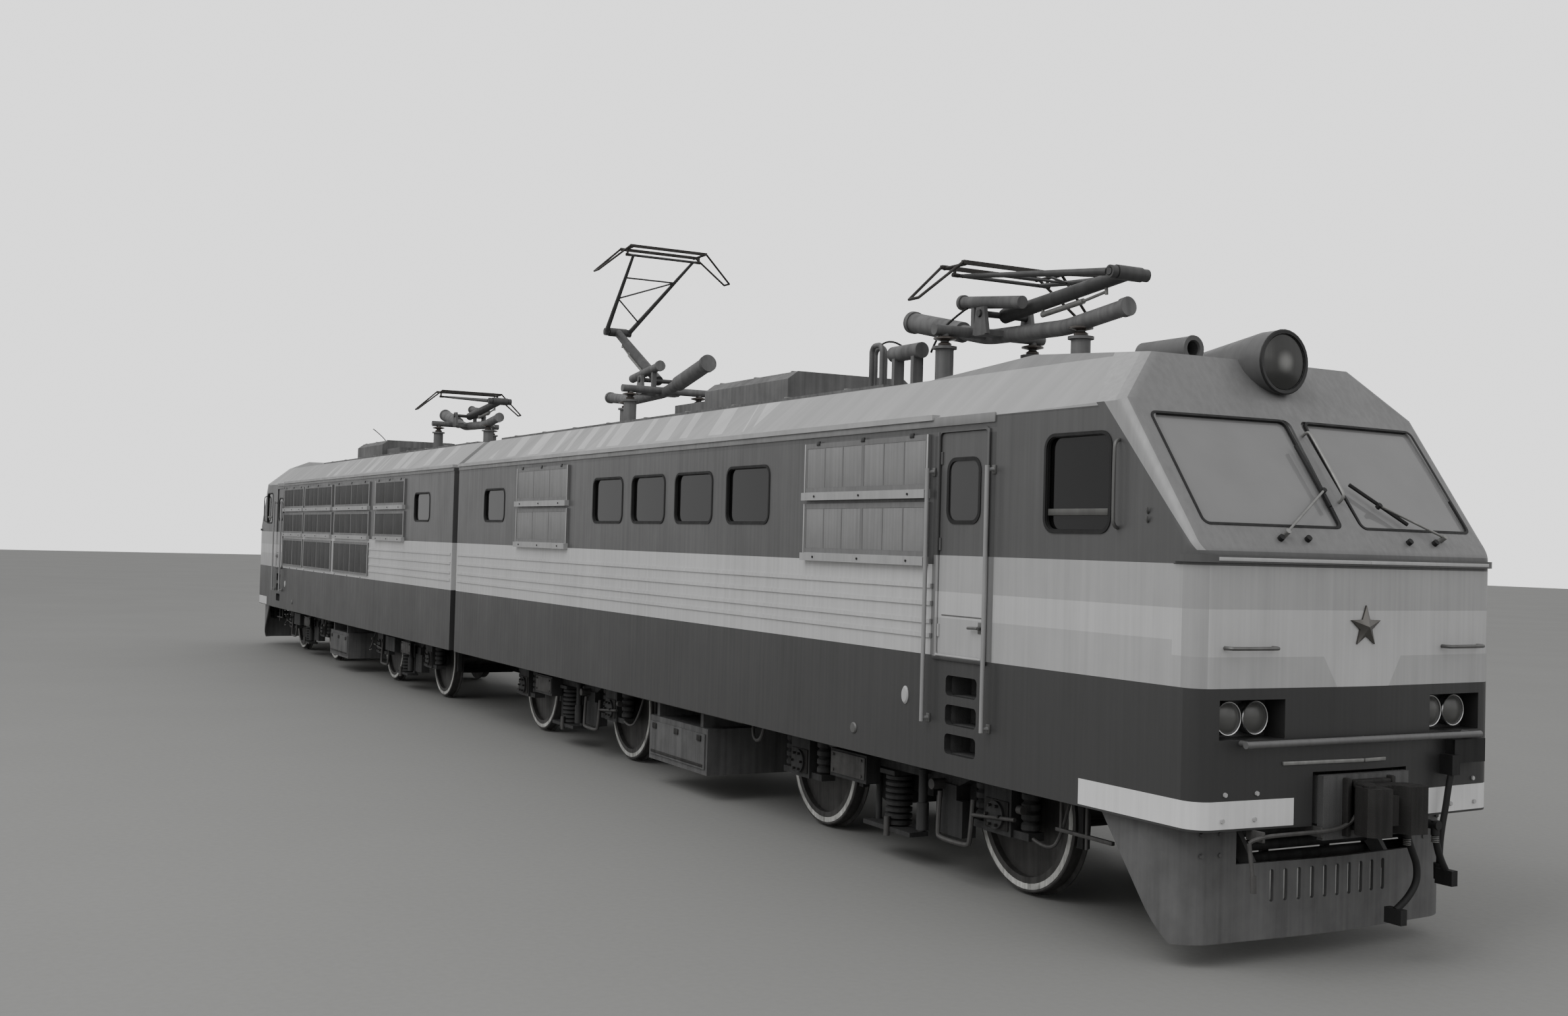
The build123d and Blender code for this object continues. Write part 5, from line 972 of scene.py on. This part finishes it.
brackets = bmesh.new()
rods = bmesh.new()
for side in (-1, 1):
    slab(brackets, (-0.83, -0.24), reach(side, 1.232, 1.240), (0.63, 0.83), 0.004)
    for x in (-0.78, -0.29):
        for height in (0.66, 0.80):
            bar(brackets, at(x, side * 1.236, height), at(x, side * 1.252, height), 0.013, sides=HEX)
    pipe(brackets, bends(side, SPRING_GUARD), 0.020)
    bar(brackets, at(0.78, side * 1.08, 0.75), at(0.78, side * 1.21, 0.75), 0.045)
    bar(rods, at(0.03, side * 1.16, 0.19), at(0.03, side * 1.16, 0.36), 0.028)
    bar(rods, at(1.31, side * 1.17, 0.58), at(1.88, side * 1.17, 0.63), 0.016)
    bar(rods, at(1.93, side * 1.17, 0.72), at(1.99, side * 1.17, 0.72), 0.035)
    pipe(rods, bends(side, BRAKE_HANGER), 0.014)
    pipe(rods, bends(side, BRAKE_PIPE), 0.012)
    for x in (-2.24, -0.96, 0.96, 2.24):
        slab(rods, (x - 0.05, x + 0.05), reach(side, 1.078, 1.092), (0.87, 0.99), 0.006)
on_bogies("brackets", brackets, grimy_steel)
on_bogies("brake_rods", rods, grimy_steel)

# Under the side sills: the step below the door with its two hangers, and the pipes beside the floor box.
under_pipes = bmesh.new()
for side in (-1, 1):
    slab(under_pipes, (14.40, 15.04), reach(side, 1.16, 1.19), (0.640, 0.668), 0.004)
    bar(under_pipes, at(14.75, side * 1.175, 0.56), at(14.75, side * 1.175, 1.02), 0.014)
    bar(under_pipes, at(14.45, side * 1.175, 0.654), at(14.45, side * 1.175, 1.02), 0.012)
    pipe(under_pipes, bends(side, DRAIN_LOOP), 0.018)
    pipe(under_pipes, [at(6.4, side * 1.30, 0.90), at(9.5, side * 1.30, 0.90)], 0.020)
on_sections("side_pipes", under_pipes, grimy_steel)
box_latches = bmesh.new()
for side in (-1, 1):
    for x in (7.42, 8.0, 8.58):
        slab(box_latches, (x - 0.05, x + 0.05), reach(side, 1.343, 1.358), (0.60, 0.66), 0.004)
    slab(box_latches, (7.33, 8.67), reach(side, 1.343, 1.352), (0.33, 0.36), 0.003)
on_sections("floor_box_latches", box_latches, cast_steel)

# Four rings of clamp wire under each brake hose's cock.
CLAMPS, CLAMP_PITCH = 4, 0.012
HOSE_X, HOSES_Y, HOSE_TOP = 16.33, (0.30, 0.58), 0.82
clamps = bmesh.new()
for y in HOSES_Y:
    for index in range(CLAMPS):
        turned(clamps, Matrix.Translation(at(HOSE_X, y, HOSE_TOP - CLAMP_PITCH * index)),
               ((0.024, -0.004), (0.029, 0), (0.024, 0.004)), 12)
on_sections("hose_clamps", clamps, zinc_steel)


# ---- roof

# Each pantograph's pivot, the way its lower arm runs, that arm's angle at rest, and its section.
PANTOGRAPHS = {"first": (12.0, 1, 5.5, "front_section"), "second": (4.2, -1, 28.5, "front_section"),
               "third": (-4.2, 1, 5.5, "rear_section")}
PIVOT_H = 4.86
LOWER_ARM = 1.70
# The feet of a pantograph's base: how far along from the pivot, and across.
FEET = ((-0.23, -0.5), (-0.23, 0.5), (1.10, 0.0))
FOOT_H = 4.56
LOW_SHED = ((0.040, 0.0), (0.062, 0.010), (0.064, 0.026), (0.042, 0.040))
HIGH_SHED = ((0.042, 0.050), (0.106, 0.066), (0.107, 0.078), (0.090, 0.086), (0.042, 0.096))
# The damper below the lower arm: its start, its end and its rod's tip, along the arm from the pivot.
DAMPER_RUN = (0.55, 1.12, 1.42)
DAMPER_DROP = 0.105
for name, (pivot, way, angle, section) in PANTOGRAPHS.items():
    sheds = bmesh.new()
    for along, y in FEET:
        foot = Matrix.Translation(at(pivot + way * along, y, FOOT_H))
        turned(sheds, foot, LOW_SHED)
        turned(sheds, foot, HIGH_SHED)
    hang(f"{name}_pantograph_sheds", sheds, porcelain, section)
    lift = math.radians(angle)
    knee = at(pivot + way * LOWER_ARM * math.cos(lift), 0, PIVOT_H + LOWER_ARM * math.sin(lift))
    root = at(pivot, 0, PIVOT_H)
    run = (knee - root).normalized()
    below = Vector((0, 1, 0)).cross(run) * way
    offset = below * DAMPER_DROP
    start, end, tip = (root + run * distance for distance in DAMPER_RUN)
    damper = bmesh.new()
    bar(damper, start + offset, end + offset, 0.026)
    bar(damper, end + offset, tip + offset * 0.85, 0.014)
    for distance in (0.56, 1.42):
        lug = root + run * distance
        bar(damper, lug + below * 0.05, lug + below * 0.115, 0.016)
    hang(f"{name}_pantograph_damper", damper, zinc_steel, f"{name}_pantograph_lower_arm")

# Flexible leads from the breaker drum to the boards and the pantograph.
LONG_LEAD = ((11.39, -0.395, 4.55), (11.50, -0.39, 4.72), (11.62, -0.28, 4.88), (11.72, -0.12, 5.02))
SHORT_LEAD = ((10.75, -0.56, 4.66), (10.86, -0.52, 4.74), (10.95, -0.42, 4.64))
leads = bmesh.new()
pipe(leads, [at(*bend) for bend in LONG_LEAD], 0.011)
pipe(leads, [at(*bend) for bend in SHORT_LEAD], 0.010)
on_sections("roof_leads", leads, black_rubber)

# Lifting plates along the roof's edges, and the hoops over the hood.
PLATES, PLATE_PITCH = 9, 1.2
HOOPS_X = (7.45, 8.3, 9.15)
straps = bmesh.new()
for side in (-1, 1):
    for index in range(PLATES):
        x = PLATE_PITCH + index * PLATE_PITCH
        slab(straps, (x - 0.03, x + 0.03), reach(side, 0.80, 0.97), (4.200, 4.212), 0.003)
for x in HOOPS_X:
    slab(straps, (x - 0.02, x + 0.02), (-0.66, 0.66), (4.528, 4.542), 0.004)
on_sections("roof_straps", straps, zinc_steel)


# ---- camera, light and floor

# The camera fitted to the photograph: its place over the floor, its lens, and its turns in degrees.
CAMERA_AT = (23.824, -8.673, 2.756)
LENS_MM = 36.42
YAW, PITCH, ROLL = (math.radians(angle) for angle in (151.5006, 1.2447, 1.5454))
FLOOR_HALF = 150

camera_data = bpy.data.cameras.new("camera")
camera_data.sensor_fit = "HORIZONTAL"
camera_data.sensor_width = 36.0
camera_data.lens = LENS_MM
camera_data.clip_end = 500
camera = put("camera", camera_data)
bpy.context.scene.camera = camera
ahead = Vector((math.cos(YAW) * math.cos(PITCH), math.sin(YAW) * math.cos(PITCH), math.sin(PITCH)))
level = Vector((math.sin(YAW), -math.cos(YAW), 0))
above = level.cross(ahead)
right = level * math.cos(ROLL) + above * math.sin(ROLL)
up = above * math.cos(ROLL) - level * math.sin(ROLL)
camera.matrix_world = axes_place(CAMERA_AT, right, up)

floor_mesh = bmesh.new()
bmesh.ops.create_grid(floor_mesh, x_segments=1, y_segments=1, size=FLOOR_HALF)
floor_data = bpy.data.meshes.new("floor")
floor_mesh.to_mesh(floor_data)
floor_mesh.free()
floor = put("floor", floor_data)
# Matt grey studio floor, with the faintest patches.
floor_data.materials.append(plain_finish("grey_floor", "#828280", 0.97, 1.02, (0.7, 0.85), patch_mm=4000))

# A pale sky that lights the piece softly, and looks brighter than it lights.
world = bpy.data.worlds.new("studio")
bpy.context.scene.world = world
world.use_nodes = True
world.node_tree.nodes.clear()
sky, backdrop = (node(world.node_tree, "Background", {"Color": linear("#e6e6e6"), "Strength": strength})
                 for strength in (1.0, 2.3))
seen = node(world.node_tree, "LightPath").outputs["Is Camera Ray"]
cyclorama = node(world.node_tree, "MixShader", None,
                 {0: seen, 1: sky.outputs["Background"], 2: backdrop.outputs["Background"]})
node(world.node_tree, "OutputWorld", None, {"Surface": cyclorama.outputs["Shader"]})


def soft_light(name, place, target, size, power):
    """A square area light that looks at its target."""
    data = bpy.data.lights.new(name, "AREA")
    data.size = size
    data.energy = power
    lamp = put(name, data)
    lamp.location = place
    lamp.rotation_euler = (Vector(target) - Vector(place)).to_track_quat("-Z", "Y").to_euler()


soft_light("key", (14, -26, 30), (4, 0, 2), 26, 7000)
soft_light("front_fill", (40, 6, 16), (14, 0, 2), 18, 600)
